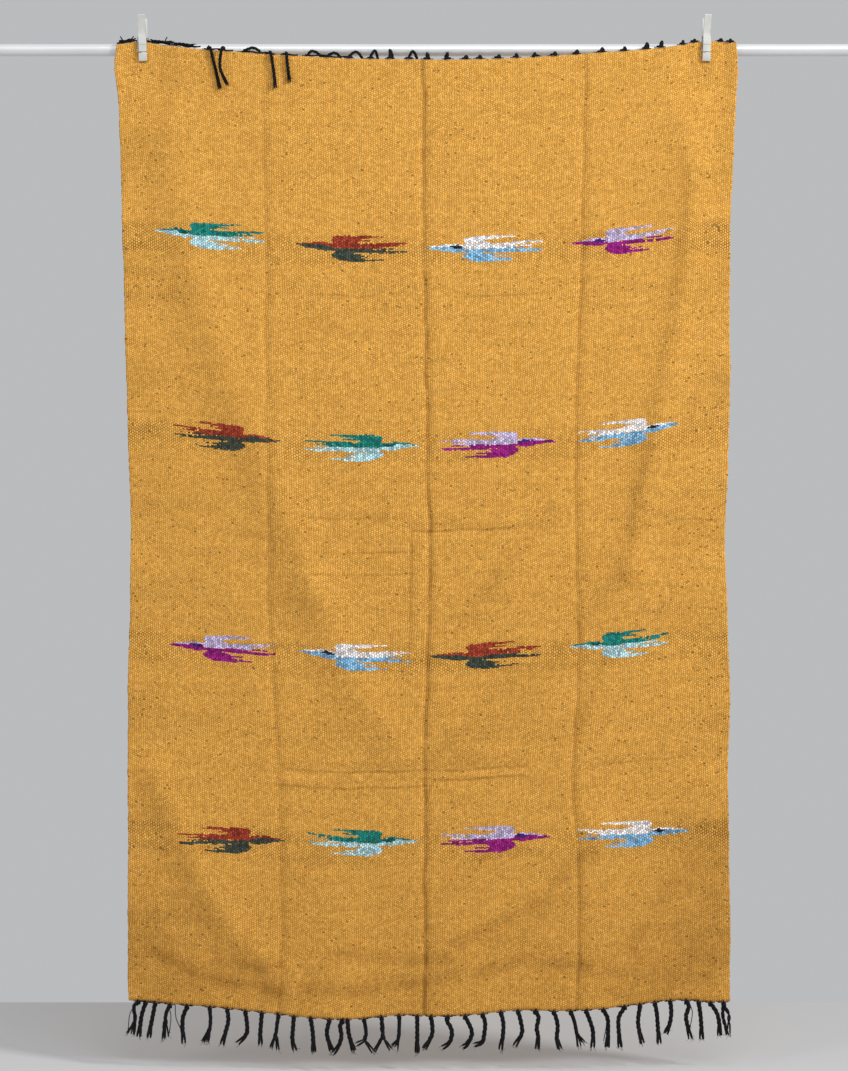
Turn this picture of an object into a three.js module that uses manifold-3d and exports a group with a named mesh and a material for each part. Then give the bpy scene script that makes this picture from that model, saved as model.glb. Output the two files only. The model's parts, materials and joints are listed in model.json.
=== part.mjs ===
// A handwoven blanket with knotted fringe, hung by two spring pegs from a plain rod.
// Millimetres, +Z up. The origin is the middle of the rod's axis, +X runs along the rod,
// and the blanket's face looks towards -Y.
import * as THREE from 'three';
import { mergeVertices } from 'three/addons/utils/BufferGeometryUtils.js';
import Module from 'manifold-3d';

const wasm = await Module();
wasm.setup();

// Driving dimensions
const GAP = 0.3;
const WELD = 1e-4;
const ROD = { radius: 12.5, length: 1850, sides: 32 };
const CLOTH = { thick: 2.5, rodClearance: 2, columns: 32, rows: 36, creaseCrowding: 0.7 };
const HANG_Y = -(ROD.radius + CLOTH.rodClearance + CLOTH.thick / 2);
const STRIP = { tall: 3.5, thick: 2.5 };
const LOCK = { wide: 7, thick: 5, stepsBelow: 5, stepsAbove: 9, stepsOver: 12, rodClearance: 3 };
const PEG = {
  width: 16.5, topWidth: 14.5, places: [-581.5, 576], midY: -2.3, top: 69, tip: -26, lean: 0.034,
};
const WIRE = {
  radius: 0.9, coilRadius: 4, coilTurns: 3, coilZ: 28, coilHalf: 6.6, coilStart: -0.25 * Math.PI,
  perTurn: 8, legX: 9.7, steps: 64,
};

// Where the cloth's side edges and its three long storage creases run, from the top down.
const LENGTHWISE = ['left', 'quarter', 'middle', 'threeQuarter', 'right'];
const SECTIONS = LENGTHWISE.length - 1;
const RUN = [
  { down: 0.000, left: -635, quarter: -331, middle: -4, threeQuarter: 329, right: 637 },
  { down: 0.025, left: -639, quarter: -331, middle: -4, threeQuarter: 329, right: 640 },
  { down: 0.053, left: -632, quarter: -331, middle: -4, threeQuarter: 328, right: 637 },
  { down: 0.106, left: -627, quarter: -330, middle: -4, threeQuarter: 325, right: 631 },
  { down: 0.215, left: -621, quarter: -328, middle: -2, threeQuarter: 320, right: 623 },
  { down: 0.372, left: -613, quarter: -324, middle: 3, threeQuarter: 309, right: 623 },
  { down: 0.465, left: -607, quarter: -322, middle: 6, threeQuarter: 308, right: 617 },
  { down: 0.507, left: -605, quarter: -321, middle: 8, threeQuarter: 309, right: 613 },
  { down: 0.590, left: -607, quarter: -320, middle: 8, threeQuarter: 312, right: 617 },
  { down: 0.676, left: -611, quarter: -310, middle: 1, threeQuarter: 312, right: 623 },
  { down: 0.757, left: -611, quarter: -301, middle: -1, threeQuarter: 301, right: 619 },
  { down: 0.838, left: -611, quarter: -297, middle: -1, threeQuarter: 313, right: 621 },
  { down: 0.924, left: -613, quarter: -294, middle: -2, threeQuarter: 314, right: 625 },
  { down: 0.966, left: -615, quarter: -296, middle: -2, threeQuarter: 311, right: 625 },
  { down: 1.000, left: -613, quarter: -305, middle: -2, threeQuarter: 310, right: 626 },
];

// How high the top and bottom edges lie, from the left edge to the right.
const EDGES = [
  { across: 0.000, top: 8, bottom: -1958 },
  { across: 0.020, top: 12, bottom: -1959 },
  { across: 0.040, top: 15, bottom: -1961 },
  { across: 0.070, top: 9, bottom: -1963 },
  { across: 0.135, top: -2, bottom: -1967 },
  { across: 0.200, top: -8, bottom: -1975 },
  { across: 0.265, top: -14, bottom: -1983 },
  { across: 0.330, top: -18.5, bottom: -1989 },
  { across: 0.390, top: -22, bottom: -1990 },
  { across: 0.455, top: -23, bottom: -1984 },
  { across: 0.520, top: -24, bottom: -1984 },
  { across: 0.585, top: -23, bottom: -1980 },
  { across: 0.650, top: -20, bottom: -1974 },
  { across: 0.715, top: -15, bottom: -1974 },
  { across: 0.780, top: -9, bottom: -1970 },
  { across: 0.840, top: -4, bottom: -1964 },
  { across: 0.900, top: 5, bottom: -1957 },
  { across: 0.935, top: 14, bottom: -1956 },
  { across: 0.965, top: 15, bottom: -1959 },
  { across: 1.000, top: 11, bottom: -1958 },
];

// Soft folds: how far each stands forward, its half width, and the line that it follows as x, z.
const FOLDS = [
  { rise: 10, spread: 32, line: [[548, -120], [535, -414], [500, -640], [463, -804], [415, -1070]] },
  { rise: 8, spread: 36, line: [[415, -1070], [290, -1234], [190, -1330], [100, -1430]] },
  { rise: 9, spread: 48, line: [[-535, -148], [-470, -517], [-415, -681], [-320, -886], [-235, -1111]] },
  { rise: 7, spread: 45, line: [[-235, -1111], [-150, -1316], [-60, -1439]] },
  { rise: 9, spread: 34, line: [[-562, -1480], [-515, -1604], [-460, -1716], [-385, -1829], [-300, -1905]] },
  { rise: 8, spread: 36, line: [[575, -1500], [520, -1640], [450, -1780], [395, -1870]] },
  { rise: 7, spread: 30, line: [[365, -1600], [280, -1700], [175, -1775], [45, -1830]] },
  { rise: 5, spread: 26, line: [[262, -930], [215, -1000], [160, -1070]] },
];
// Storage creases: a shallow trough along each lengthwise line and at the crosswise folds.
const CREASE = { depth: 3, spread: 9 };
const CROSS_CREASES = [
  { down: 0.250, from: 0.30, to: 0.42, depth: 1.5 },
  { down: 0.250, from: 0.54, to: 0.69, depth: 1.5 },
  { down: 0.492, from: 0.47, to: 0.71, depth: 2.0 },
  { down: 0.743, from: 0.25, to: 0.67, depth: 2.0 },
];
const CROSS = { spread: 9, fade: 0.03 };
// The lower corners turn back, the middle bellies forward, and the free edges ripple.
const CORNERS = [
  { x: -613, z: -1958, reach: 340, back: 30 },
  { x: 626, z: -1958, reach: 330, back: 26 },
];
const BELLY = 22;
const SIDE_RIPPLE = { rise: 5, length: 230, reach: 55, from: 0.03, full: 0.12 };
const HEM_RIPPLE = { rise: 7, length: 270, reach: 170 };
// Away from the pegs the cloth stands off the rod, with room behind it for the tucked locks.
const TUCK = { standoff: 10, settled: 0.09, gripWidth: 32, pegReachX: 26, pegReachZ: 110, behind: 8.5 };

// Locks along the bottom: root, sideways shift at the bend and at the tip, length,
// and how far the tip stands forward.
const BELOW = [
  { root: -594, bend: -8, tip: -12, long: 70, out: 0 },
  { root: -578, bend: -8, tip: -13, long: 72, out: 4 },
  { root: -558, bend: -5, tip: -14, long: 74, out: 0 },
  { root: -527, bend: -8, tip: -14, long: 72, out: 3 },
  { root: -491, bend: -9, tip: -8, long: 79, out: 0 },
  { root: -444, bend: 1, tip: -13, long: 70, out: 2 },
  { root: -408, bend: 2, tip: -10, long: 72, out: 0 },
  { root: -371, bend: 4, tip: -16, long: 64, out: 3 },
  { root: -337, bend: -3, tip: -4, long: 63, out: 0 },
  { root: -303, bend: -4, tip: -8, long: 68, out: 2 },
  { root: -271, bend: -2, tip: 3, long: 70, out: 0 },
  { root: -236, bend: 4, tip: 6, long: 69, out: 3 },
  { root: -198, bend: -5, tip: 5, long: 66, out: -3 },
  { root: -173, bend: -6, tip: -11, long: 68, out: 7 },
  { root: -160, bend: 4, tip: 13, long: 64, out: 0 },
  { root: -130, bend: 3, tip: -12, long: 52, out: 7 },
  { root: -120, bend: 6, tip: 12, long: 66, out: 7 },
  { root: -95, bend: -1, tip: -11, long: 66, out: -7 },
  { root: -86, bend: 6, tip: 14, long: 64, out: 7 },
  { root: -55, bend: -1, tip: -11, long: 64, out: -7 },
  { root: -18, bend: 0, tip: 0, long: 76, out: 2 },
  { root: 10, bend: 3, tip: -14, long: 68, out: 0 },
  { root: 45, bend: 8, tip: -11, long: 68, out: 4 },
  { root: 80, bend: 14, tip: -4, long: 66, out: 0 },
  { root: 116, bend: 5, tip: -16, long: 60, out: 3 },
  { root: 154, bend: 5, tip: 0, long: 77, out: 0 },
  { root: 189, bend: 8, tip: -6, long: 70, out: 3 },
  { root: 224, bend: 4, tip: 5, long: 79, out: 0 },
  { root: 262, bend: 8, tip: 12, long: 77, out: 2 },
  { root: 297, bend: 10, tip: 17, long: 71, out: 0 },
  { root: 328, bend: 12, tip: 12, long: 75, out: 3 },
  { root: 363, bend: 10, tip: 8, long: 77, out: 0 },
  { root: 408, bend: -13, tip: -9, long: 83, out: 2 },
  { root: 440, bend: -4, tip: 4, long: 79, out: 0 },
  { root: 471, bend: 4, tip: 8, long: 86, out: 2 },
  { root: 503, bend: 2, tip: -10, long: 66, out: 0 },
  { root: 536, bend: 0, tip: 9, long: 77, out: 3 },
  { root: 561, bend: 5, tip: 7, long: 77, out: 0 },
  { root: 585, bend: 14, tip: 16, long: 66, out: 3 },
  { root: 612, bend: 4, tip: 9, long: 66, out: 0 },
];

// Locks along the top. A tucked lock loops up and hangs between the cloth and the rod, one that
// goes over hangs behind the rod, a laid one lies along the edge, and a forward one falls down the face.
// Rise and lean place the loop's crown, land is where it comes down, and hang is its drop from the edge.
const ABOVE = [
  { root: -628, way: 'over', rise: 0, lean: 3, land: 4, hang: 62 },
  { root: -612, way: 'over', rise: 0, lean: 3, land: 5, hang: 70 },
  { root: -562, way: 'laid', rise: 6, lean: 14, land: 40, hang: 0 },
  { root: -515, way: 'laid', rise: 6, lean: 12, land: 40, hang: 0 },
  { root: -446, way: 'forward', rise: 6, lean: 14, land: 24, hang: 80 },
  { root: -414, way: 'forward', rise: 6, lean: -10, land: 8, hang: 72 },
  { root: -373, way: 'tuck', rise: 10, lean: 18, land: 39, hang: 74 },
  { root: -320, way: 'forward', rise: 5, lean: 8, land: 11, hang: 70 },
  { root: -287, way: 'forward', rise: 5, lean: 4, land: 8, hang: 56 },
  { root: -242, way: 'tuck', rise: 12, lean: 8, land: 33, hang: 66 },
  { root: -202, way: 'tuck', rise: 10, lean: 14, land: 31, hang: 78 },
  { root: -158, way: 'tuck', rise: 14, lean: 14, land: 31, hang: 70 },
  { root: -114, way: 'tuck', rise: 17, lean: 9, land: 17, hang: 64 },
  { root: -74, way: 'tuck', rise: 19, lean: 0, land: 8, hang: 72 },
  { root: -35, way: 'tuck', rise: 17, lean: 8, land: 19, hang: 76 },
  { root: 2, way: 'tuck', rise: 13, lean: 0, land: 6, hang: 66 },
  { root: 44, way: 'tuck', rise: 14, lean: 0, land: -6, hang: 70 },
  { root: 80, way: 'tuck', rise: 7, lean: 3, land: 6, hang: 75 },
  { root: 109, way: 'tuck', rise: 7, lean: 2, land: 5, hang: 68 },
  { root: 147, way: 'tuck', rise: 7, lean: 3, land: 6, hang: 72 },
  { root: 184, way: 'tuck', rise: 8, lean: 2, land: 4, hang: 63 },
  { root: 225, way: 'tuck', rise: 8, lean: -2, land: -5, hang: 77 },
  { root: 262, way: 'tuck', rise: 7, lean: 3, land: 6, hang: 70 },
  { root: 307, way: 'tuck', rise: 8, lean: 3, land: 7, hang: 66 },
  { root: 358, way: 'tuck', rise: 9, lean: 4, land: 8, hang: 74 },
  { root: 405, way: 'tuck', rise: 8, lean: 3, land: 6, hang: 68 },
  { root: 449, way: 'tuck', rise: 13, lean: 5, land: 8, hang: 70 },
  { root: 480, way: 'tuck', rise: 13, lean: 4, land: 5, hang: 64 },
  { root: 526, way: 'over', rise: 0, lean: 4, land: 6, hang: 60 },
  { root: 551, way: 'over', rise: 0, lean: 2, land: 2, hang: 72 },
  { root: 604, way: 'over', rise: 0, lean: 4, land: 5, hang: 66 },
  { root: 624, way: 'over', rise: 0, lean: 3, land: 3, hang: 58 },
];

// One peg lever's side profile: distance from the peg's middle plane, and height.
// The inner side runs up from the jaw's tip, the outer side down from the handle's top.
const LEVER = [
  { out: 15.3, up: PEG.tip }, { out: 15.3, up: 19.5 }, { out: 5.7, up: 24.5 }, { out: 5.7, up: 31.5 },
  { out: 21, up: PEG.top }, { out: 25.5, up: PEG.top }, { out: 27, up: PEG.top - 2 },
  { out: 17.8, up: 33 }, { out: 17.8, up: 27 }, { out: 22.3, up: 16 },
  { out: 22.3, up: 8 }, { out: 21.3, up: 7 }, { out: 22.3, up: 6 },
  { out: 22.3, up: -6.6 }, { out: 20.5, up: -6.8 }, { out: 20.5, up: -9.2 }, { out: 22.3, up: -9.4 },
  { out: 22.3, up: -22 }, { out: 20.5, up: PEG.tip },
];

const COLOURS = {
  cloth: { color: 0xdda548, roughness: 0.95, metalness: 0 },
  yarn: { color: 0x15161a, roughness: 0.9, metalness: 0 },
  rod: { color: 0xe4e6e8, roughness: 0.38, metalness: 0.55 },
  peg: { color: 0xe6e6e2, roughness: 0.45, metalness: 0 },
  spring: { color: 0xa9abad, roughness: 0.35, metalness: 0.9 },
};

// Shares of a bottom lock's bend, tip, forward stand and length at points from its root down.
const LOCK_FALL = [
  { bend: 0, tip: 0, out: 0, long: 0 }, { bend: 0.55, tip: 0, out: 0.2, long: 0.22 },
  { bend: 1, tip: 0, out: 0.6, long: 0.58 }, { bend: 0.4, tip: 0.6, out: 0.9, long: 0.85 },
  { bend: 0, tip: 1, out: 1, long: 1 },
];
// The same for the top locks, by the way that they go. Back, out, above, drop and sway are in mm.
const TUCK_CROWN = [
  { lean: 0.5, land: 0, back: -1.2, rise: 0.72 }, { lean: 1, land: 0, back: 2.2, rise: 1 },
  { lean: 0.5, land: 0.5, back: 6.4, rise: 0.62 },
];
const TUCK_TAIL = [
  { sway: 0, drop: 9, hang: 0 }, { sway: 2, drop: 0, hang: 0.5 }, { sway: -2, drop: 0, hang: 1 },
];
const OVER_RISE = { lean: 0.4, back: 0.8, above: 6, least: 13 };
const OVER_ARC = [
  { lean: 0.7, land: 0, turn: 0.39 }, { lean: 1, land: 0, turn: 0.62 }, { lean: 0, land: 1, turn: 0.86 },
];
const OVER_TAIL = [{ sway: 1, back: 0.5, drop: 12, hang: 0 }, { sway: -1, back: -0.5, drop: 0, hang: 1 }];
const LAID = [
  { lean: 0.2, land: 0, out: 1, rise: 0.8 }, { lean: 1, land: 0, out: 0.5, rise: 1 },
  { lean: 0.6, land: 0.6, out: 0.5, rise: 1 }, { lean: 0, land: 1, out: 0.5, rise: 1.2 },
];
const FORWARD_OFF = { plain: 7, crossing: 14 };
const FORWARD_CROWN = [{ lean: 0, off: 0, out: 2, rise: 1 }, { lean: 0.3, off: 1, out: 0, rise: 0.5 }];
const FORWARD_FALL = [
  { lean: 0.7, land: 0, hang: 0.25 }, { lean: 0.8, land: 0.2, hang: 0.55 }, { lean: 0, land: 1, hang: 1 },
];

// One leg of the peg's spring, from the end in the lever's groove up to the coil.
const SPRING_LEG = [
  { side: 2, out: 21.8, up: -8 }, { side: 6, out: 21.8, up: -8 }, { side: 9, out: 21.9, up: -8 },
  { side: WIRE.legX + GAP, out: 20.5, up: -6.5 }, { side: WIRE.legX, out: 18.8, up: 0 },
  { side: WIRE.legX, out: 18.6, up: 14 }, { side: WIRE.legX, out: 17, up: 20.5 },
  { side: WIRE.legX, out: 10, up: 24.6 }, { side: WIRE.legX - GAP, out: 4, up: 25.6 },
];

const { lerp, clamp, smoothstep } = THREE.MathUtils;
const bell = (distance, spread) => Math.exp(-((distance / spread) ** 2));

// Reads one column of a table at a place between its rows, on a smooth curve through them.
function read(rows, key, column, place) {
  const last = rows.length - 1;
  let i = 0;
  while (i < last - 1 && place > rows[i + 1][key]) i += 1;
  const [a, b] = [rows[i], rows[i + 1]];
  const [before, after] = [rows[Math.max(i - 1, 0)], rows[Math.min(i + 2, last)]];
  const gap = b[key] - a[key];
  const slopeA = (b[column] - before[column]) / (b[key] - before[key]);
  const slopeB = (after[column] - a[column]) / (after[key] - a[key]);
  const t = clamp((place - a[key]) / gap, 0, 1);
  const ease = t * t * (3 - 2 * t);
  const bendA = slopeA * gap * t * (1 - t) ** 2;
  const bendB = slopeB * gap * t * t * (1 - t);
  return a[column] * (1 - ease) + b[column] * ease + bendA - bendB;
}

// How far a point is from a line of points in the cloth's plane, faded out past the line's ends.
function foldAt(fold, x, z) {
  let best = 0;
  const pieces = fold.line.length - 1;
  for (let i = 0; i < pieces; i += 1) {
    const [[ax, az], [bx, bz]] = [fold.line[i], fold.line[i + 1]];
    const [dx, dz] = [bx - ax, bz - az];
    const t = clamp(((x - ax) * dx + (z - az) * dz) / (dx * dx + dz * dz), 0, 1);
    const away = Math.hypot(x - ax - t * dx, z - az - t * dz);
    best = Math.max(best, bell(away, fold.spread));
  }
  return best * fold.rise;
}

function lengthwiseAt(down) {
  return LENGTHWISE.map((name) => read(RUN, 'down', name, down));
}

// How far the cloth stands forward of its hanging plane.
function reliefAt(x, z, across, down) {
  const lines = lengthwiseAt(down);
  let forward = BELLY * Math.sin(Math.PI * across) * Math.sin(Math.PI * down) ** 2;
  for (const fold of FOLDS) forward += foldAt(fold, x, z);
  for (const line of lines.slice(1, -1)) forward -= CREASE.depth * bell(x - line, CREASE.spread);
  const top = read(EDGES, 'across', 'top', across);
  const bottom = read(EDGES, 'across', 'bottom', across);
  for (const { down: place, from, to, depth } of CROSS_CREASES) {
    const reach = smoothstep(across, from - CROSS.fade, from + CROSS.fade)
      * (1 - smoothstep(across, to - CROSS.fade, to + CROSS.fade));
    forward -= depth * reach * bell((down - place) * (top - bottom), CROSS.spread);
  }
  for (const corner of CORNERS) {
    const away = Math.hypot(x - corner.x, z - corner.z);
    forward -= corner.back * (1 - smoothstep(away, 0, corner.reach));
  }
  const side = Math.min(x - lines[0], lines[SECTIONS] - x);
  const fade = smoothstep(down, SIDE_RIPPLE.from, SIDE_RIPPLE.full);
  forward += fade * SIDE_RIPPLE.rise * Math.exp(-side / SIDE_RIPPLE.reach)
    * Math.sin((2 * Math.PI * z) / SIDE_RIPPLE.length + Math.sign(x));
  forward += HEM_RIPPLE.rise * Math.exp((bottom - z) / HEM_RIPPLE.reach)
    * Math.sin((2 * Math.PI * x) / HEM_RIPPLE.length);
  let grip = 0;
  for (const place of PEG.places) {
    const beside = Math.max(0, Math.abs(x - place) - TUCK.gripWidth);
    const below = Math.max(0, PEG.tip - z);
    grip = Math.max(grip, bell(beside, TUCK.pegReachX) * bell(below, TUCK.pegReachZ));
  }
  return (1 - grip) * (TUCK.standoff + smoothstep(down, 0, TUCK.settled) * forward);
}

// The middle of the cloth's thickness, by its place across and down the sheet.
function clothAt(across, down) {
  const lines = lengthwiseAt(down);
  const section = Math.min(Math.floor(across * SECTIONS), SECTIONS - 1);
  const x = lerp(lines[section], lines[section + 1], across * SECTIONS - section);
  const top = read(EDGES, 'across', 'top', across);
  const z = lerp(top, read(EDGES, 'across', 'bottom', across), down);
  return new THREE.Vector3(x, HANG_Y - reliefAt(x, z, across, down), z);
}

// The place across the sheet of a point at a given x.
function acrossAt(x, down) {
  const lines = lengthwiseAt(down);
  const passed = lines.slice(1, -1).filter((line) => x >= line).length;
  const share = (x - lines[passed]) / (lines[passed + 1] - lines[passed]);
  return clamp((passed + share) / SECTIONS, 0, 1);
}

// The cloth's middle surface behind or in front of a point near the top edge.
function clothBeside(x, z) {
  const across = acrossAt(x, 0);
  const top = read(EDGES, 'across', 'top', across);
  const bottom = read(EDGES, 'across', 'bottom', across);
  return clothAt(across, clamp((z - top) / (bottom - top), 0, 1)).y;
}

// Moves every point of a unit box by a rule on its place from 0 to 1 along x and z and its side in y.
function bentBox(columns, rows, rule) {
  const geometry = new THREE.BoxGeometry(1, 1, 1, columns, 1, rows);
  const points = geometry.attributes.position;
  for (let i = 0; i < points.count; i += 1) {
    const p = rule(points.getX(i) + 0.5, 0.5 - points.getZ(i), points.getY(i));
    points.setXYZ(i, p.x, p.y, p.z);
  }
  return geometry;
}

// Draws the sheet's columns closer together at the storage creases.
function crowded(u) {
  const waves = 2 * Math.PI * SECTIONS;
  return clamp(u - (CLOTH.creaseCrowding * Math.sin(waves * u)) / waves, 0, 1);
}

function clothGeometry() {
  return bentBox(CLOTH.columns, CLOTH.rows, (u, down, side) => {
    const p = clothAt(crowded(u), down);
    p.y += side * CLOTH.thick;
    return p;
  });
}

// A narrow strip just off the top or bottom edge, which ties the locks' roots together.
function stripGeometry(down) {
  const away = down === 0 ? GAP : -GAP - STRIP.tall;
  return bentBox(CLOTH.columns, 1, (u, rowPlace, side) => {
    const p = clothAt(crowded(u), down);
    p.y += side * STRIP.thick;
    p.z += away + STRIP.tall * (1 - rowPlace);
    return p;
  });
}

// A closed tube with a section of a few corners, on a smooth curve through the points.
function tube(corners, points, steps) {
  const section = new THREE.Shape(corners.map((corner) => new THREE.Vector2(...corner)));
  const extrudePath = new THREE.CatmullRomCurve3(points.map((p) => new THREE.Vector3(...p)));
  return new THREE.ExtrudeGeometry(section, { steps, bevelEnabled: false, extrudePath });
}

function lockGeometry(points, steps) {
  const [w, t] = [LOCK.wide / 2, LOCK.thick / 2];
  return tube([[-w, -t], [w, -t], [w, t], [-w, t]], points, steps);
}

function lockBelow({ root, bend, tip, long, out }) {
  const edge = clothAt(acrossAt(root, 1), 1);
  const start = edge.z - GAP - STRIP.tall / 2;
  const points = LOCK_FALL.map((share) => [
    root + share.bend * bend + share.tip * tip, edge.y - share.out * out, start - share.long * long,
  ]);
  return lockGeometry(points, LOCK.stepsBelow);
}

// A lock's route up from the top edge, by the way that it falls.
const ROUTES = {
  tuck({ root, rise, lean, land, hang }, edge) {
    const crown = TUCK_CROWN.map((share) => [
      root + share.lean * lean + share.land * land, edge.y + share.back, edge.z + share.rise * rise,
    ]);
    const tail = TUCK_TAIL.map(({ sway, drop, hang: share }) => {
      const [x, z] = [root + land + sway, edge.z - drop - share * hang];
      return [x, clothBeside(x, z) + TUCK.behind, z];
    });
    return [...crown, ...tail];
  },
  over({ root, lean, land, hang }, edge) {
    const round = ROD.radius + LOCK.thick / 2 + LOCK.rodClearance;
    const height = Math.max(edge.z + OVER_RISE.above, OVER_RISE.least);
    const rise = [root + OVER_RISE.lean * lean, edge.y + OVER_RISE.back, height];
    const arc = OVER_ARC.map((share) => {
      const turn = share.turn * Math.PI;
      return [root + share.lean * lean + share.land * land, -round * Math.cos(turn), round * Math.sin(turn)];
    });
    const tail = OVER_TAIL.map(({ sway, back, drop, hang: share }) => [
      root + land + sway, round + back, share * (edge.z - hang) - drop,
    ]);
    return [rise, ...arc, ...tail];
  },
  laid({ root, rise, lean, land }) {
    return LAID.map((share) => {
      const x = root + share.lean * lean + share.land * land;
      const place = clothAt(acrossAt(x, 0), 0);
      return [x, place.y - share.out, place.z + share.rise * rise];
    });
  },
  forward({ root, rise, lean, land, hang }, edge) {
    const off = lean < 0 ? FORWARD_OFF.crossing : FORWARD_OFF.plain;
    const crown = FORWARD_CROWN.map((share) => [
      root + share.lean * lean, edge.y - (share.off * off + share.out), edge.z + share.rise * rise,
    ]);
    const fall = FORWARD_FALL.map((share) => {
      const [x, z] = [root + share.lean * lean + share.land * land, edge.z - share.hang * hang];
      return [x, clothBeside(x, z) - off, z];
    });
    return [...crown, ...fall];
  },
};

function lockAbove(row) {
  const edge = clothAt(acrossAt(row.root, 0), 0);
  const middle = edge.z + GAP + STRIP.tall / 2;
  const upright = [[row.root, edge.y, middle], [row.root, edge.y, middle + STRIP.tall / 2]];
  const steps = row.way === 'over' ? LOCK.stepsOver : LOCK.stepsAbove;
  return lockGeometry([...upright, ...ROUTES[row.way](row, edge)], steps);
}

function toSolid(geometry) {
  geometry.deleteAttribute('normal');
  geometry.deleteAttribute('uv');
  const merged = mergeVertices(geometry, WELD);
  const vertProperties = new Float32Array(merged.attributes.position.array);
  const triVerts = new Uint32Array(merged.index.array);
  return new wasm.Manifold(new wasm.Mesh({ numProp: 3, vertProperties, triVerts }));
}

function fused(geometries) {
  const mesh = geometries.map(toSolid).reduce((whole, next) => whole.add(next)).getMesh();
  const geometry = new THREE.BufferGeometry();
  geometry.setAttribute('position', new THREE.BufferAttribute(mesh.vertProperties, 3));
  geometry.setIndex(new THREE.BufferAttribute(mesh.triVerts, 1));
  return geometry;
}

// One lever, facing back, with its handle a little narrower than its jaw.
function leverGeometry() {
  const outline = new THREE.Shape(LEVER.map(({ out, up }) => new THREE.Vector2(out, up)));
  const geometry = new THREE.ExtrudeGeometry(outline, { depth: PEG.width, bevelEnabled: false });
  geometry.translate(0, 0, -PEG.width / 2);
  const points = geometry.attributes.position;
  for (let i = 0; i < points.count; i += 1) {
    const [out, up, side] = [points.getX(i), points.getY(i), points.getZ(i)];
    const rise = (up - PEG.tip) / (PEG.top - PEG.tip);
    points.setXYZ(i, side * lerp(1, PEG.topWidth / PEG.width, rise), out, up);
  }
  return geometry;
}

// The wire spring: a coil between the levers, and a leg down each side into the lever's groove.
function springGeometry() {
  const leg = SPRING_LEG.map(({ side, out, up }) => [side, out, up]);
  const coil = [];
  const steps = WIRE.coilTurns * WIRE.perTurn;
  for (let i = 0; i <= steps; i += 1) {
    const turn = WIRE.coilStart - (2 * Math.PI * i) / WIRE.perTurn;
    const x = lerp(WIRE.coilHalf, -WIRE.coilHalf, i / steps);
    coil.push([x, WIRE.coilRadius * Math.cos(turn), WIRE.coilZ + WIRE.coilRadius * Math.sin(turn)]);
  }
  const back = leg.map(([x, y, z]) => [-x, -y, z]).reverse();
  const [x, y, z] = coil.pop();
  const r = WIRE.radius;
  return tube([[-r, 0], [0, -r], [r, 0], [0, r]], [...leg, ...coil, [x, -y, z], ...back], WIRE.steps);
}

function rodGeometry() {
  return new THREE.CylinderGeometry(ROD.radius, ROD.radius, ROD.length, ROD.sides).rotateZ(Math.PI / 2);
}

function piece(name, geometry, look) {
  const mesh = new THREE.Mesh(geometry, new THREE.MeshStandardMaterial(look));
  mesh.name = name;
  return mesh;
}

function peg(side, x) {
  const group = new THREE.Group();
  group.position.set(x, PEG.midY, 0);
  group.rotation.y = Math.sign(x) * PEG.lean;
  const front = piece(`peg_${side}_front`, leverGeometry(), COLOURS.peg);
  front.rotation.z = Math.PI;
  group.add(front, piece(`peg_${side}_back`, leverGeometry(), COLOURS.peg));
  group.add(piece(`peg_${side}_spring`, springGeometry(), COLOURS.spring));
  return group;
}

const blanket = new THREE.Group();
blanket.add(piece('cloth', clothGeometry(), COLOURS.cloth));
blanket.add(piece('fringe_bottom', fused([stripGeometry(1), ...BELOW.map(lockBelow)]), COLOURS.yarn));
blanket.add(piece('fringe_top', fused([stripGeometry(0), ...ABOVE.map(lockAbove)]), COLOURS.yarn));
blanket.add(piece('rod', rodGeometry(), COLOURS.rod));
PEG.places.forEach((x, i) => blanket.add(peg(['left', 'right'][i], x)));

export default blanket;
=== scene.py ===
# A handwoven blanket with woven birds and knotted fringe, hung by two spring pegs from a rod.
# Shapes are worked out in millimetres and made in metres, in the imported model's own frame.
import json
import math

import bmesh
import bpy
import numpy as np
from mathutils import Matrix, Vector

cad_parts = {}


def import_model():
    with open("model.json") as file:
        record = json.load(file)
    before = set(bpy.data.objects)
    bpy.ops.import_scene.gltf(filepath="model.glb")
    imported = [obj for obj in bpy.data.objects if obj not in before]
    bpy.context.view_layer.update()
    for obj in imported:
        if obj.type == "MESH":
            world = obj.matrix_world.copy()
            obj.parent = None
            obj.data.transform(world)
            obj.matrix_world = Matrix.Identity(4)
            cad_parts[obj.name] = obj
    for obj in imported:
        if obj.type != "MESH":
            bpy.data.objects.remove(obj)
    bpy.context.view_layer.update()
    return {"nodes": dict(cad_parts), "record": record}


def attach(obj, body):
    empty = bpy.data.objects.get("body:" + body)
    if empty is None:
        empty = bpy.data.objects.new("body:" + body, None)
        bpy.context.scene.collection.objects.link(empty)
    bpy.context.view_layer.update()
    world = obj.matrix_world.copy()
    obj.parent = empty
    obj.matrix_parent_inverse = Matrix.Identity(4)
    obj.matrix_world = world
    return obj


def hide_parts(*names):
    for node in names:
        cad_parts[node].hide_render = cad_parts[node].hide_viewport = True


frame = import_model()
MM = 0.001
rng = np.random.default_rng(7)

# The solids' driving values
GAP = 0.3
ROD_RADIUS, ROD_LENGTH = 12.5, 1850
CLOTH_THICK = 2.5
HANG_Y = -15.75
STRIP_TALL = 3.5
LOCK_THICK, LOCK_ROD_CLEARANCE = 5, 3
PEG_WIDTH, PEG_TOP_WIDTH, PEG_MID_Y, PEG_TOP, PEG_TIP, PEG_LEAN = 16.5, 14.5, -2.3, 69, -26, 0.034
PEG_PLACES = {"left": -581.5, "right": 576}
WIRE_RADIUS, COIL_RADIUS, COIL_TURNS, COIL_Z, LEG_X = 0.9, 4, 3, 28, 9.7

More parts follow.
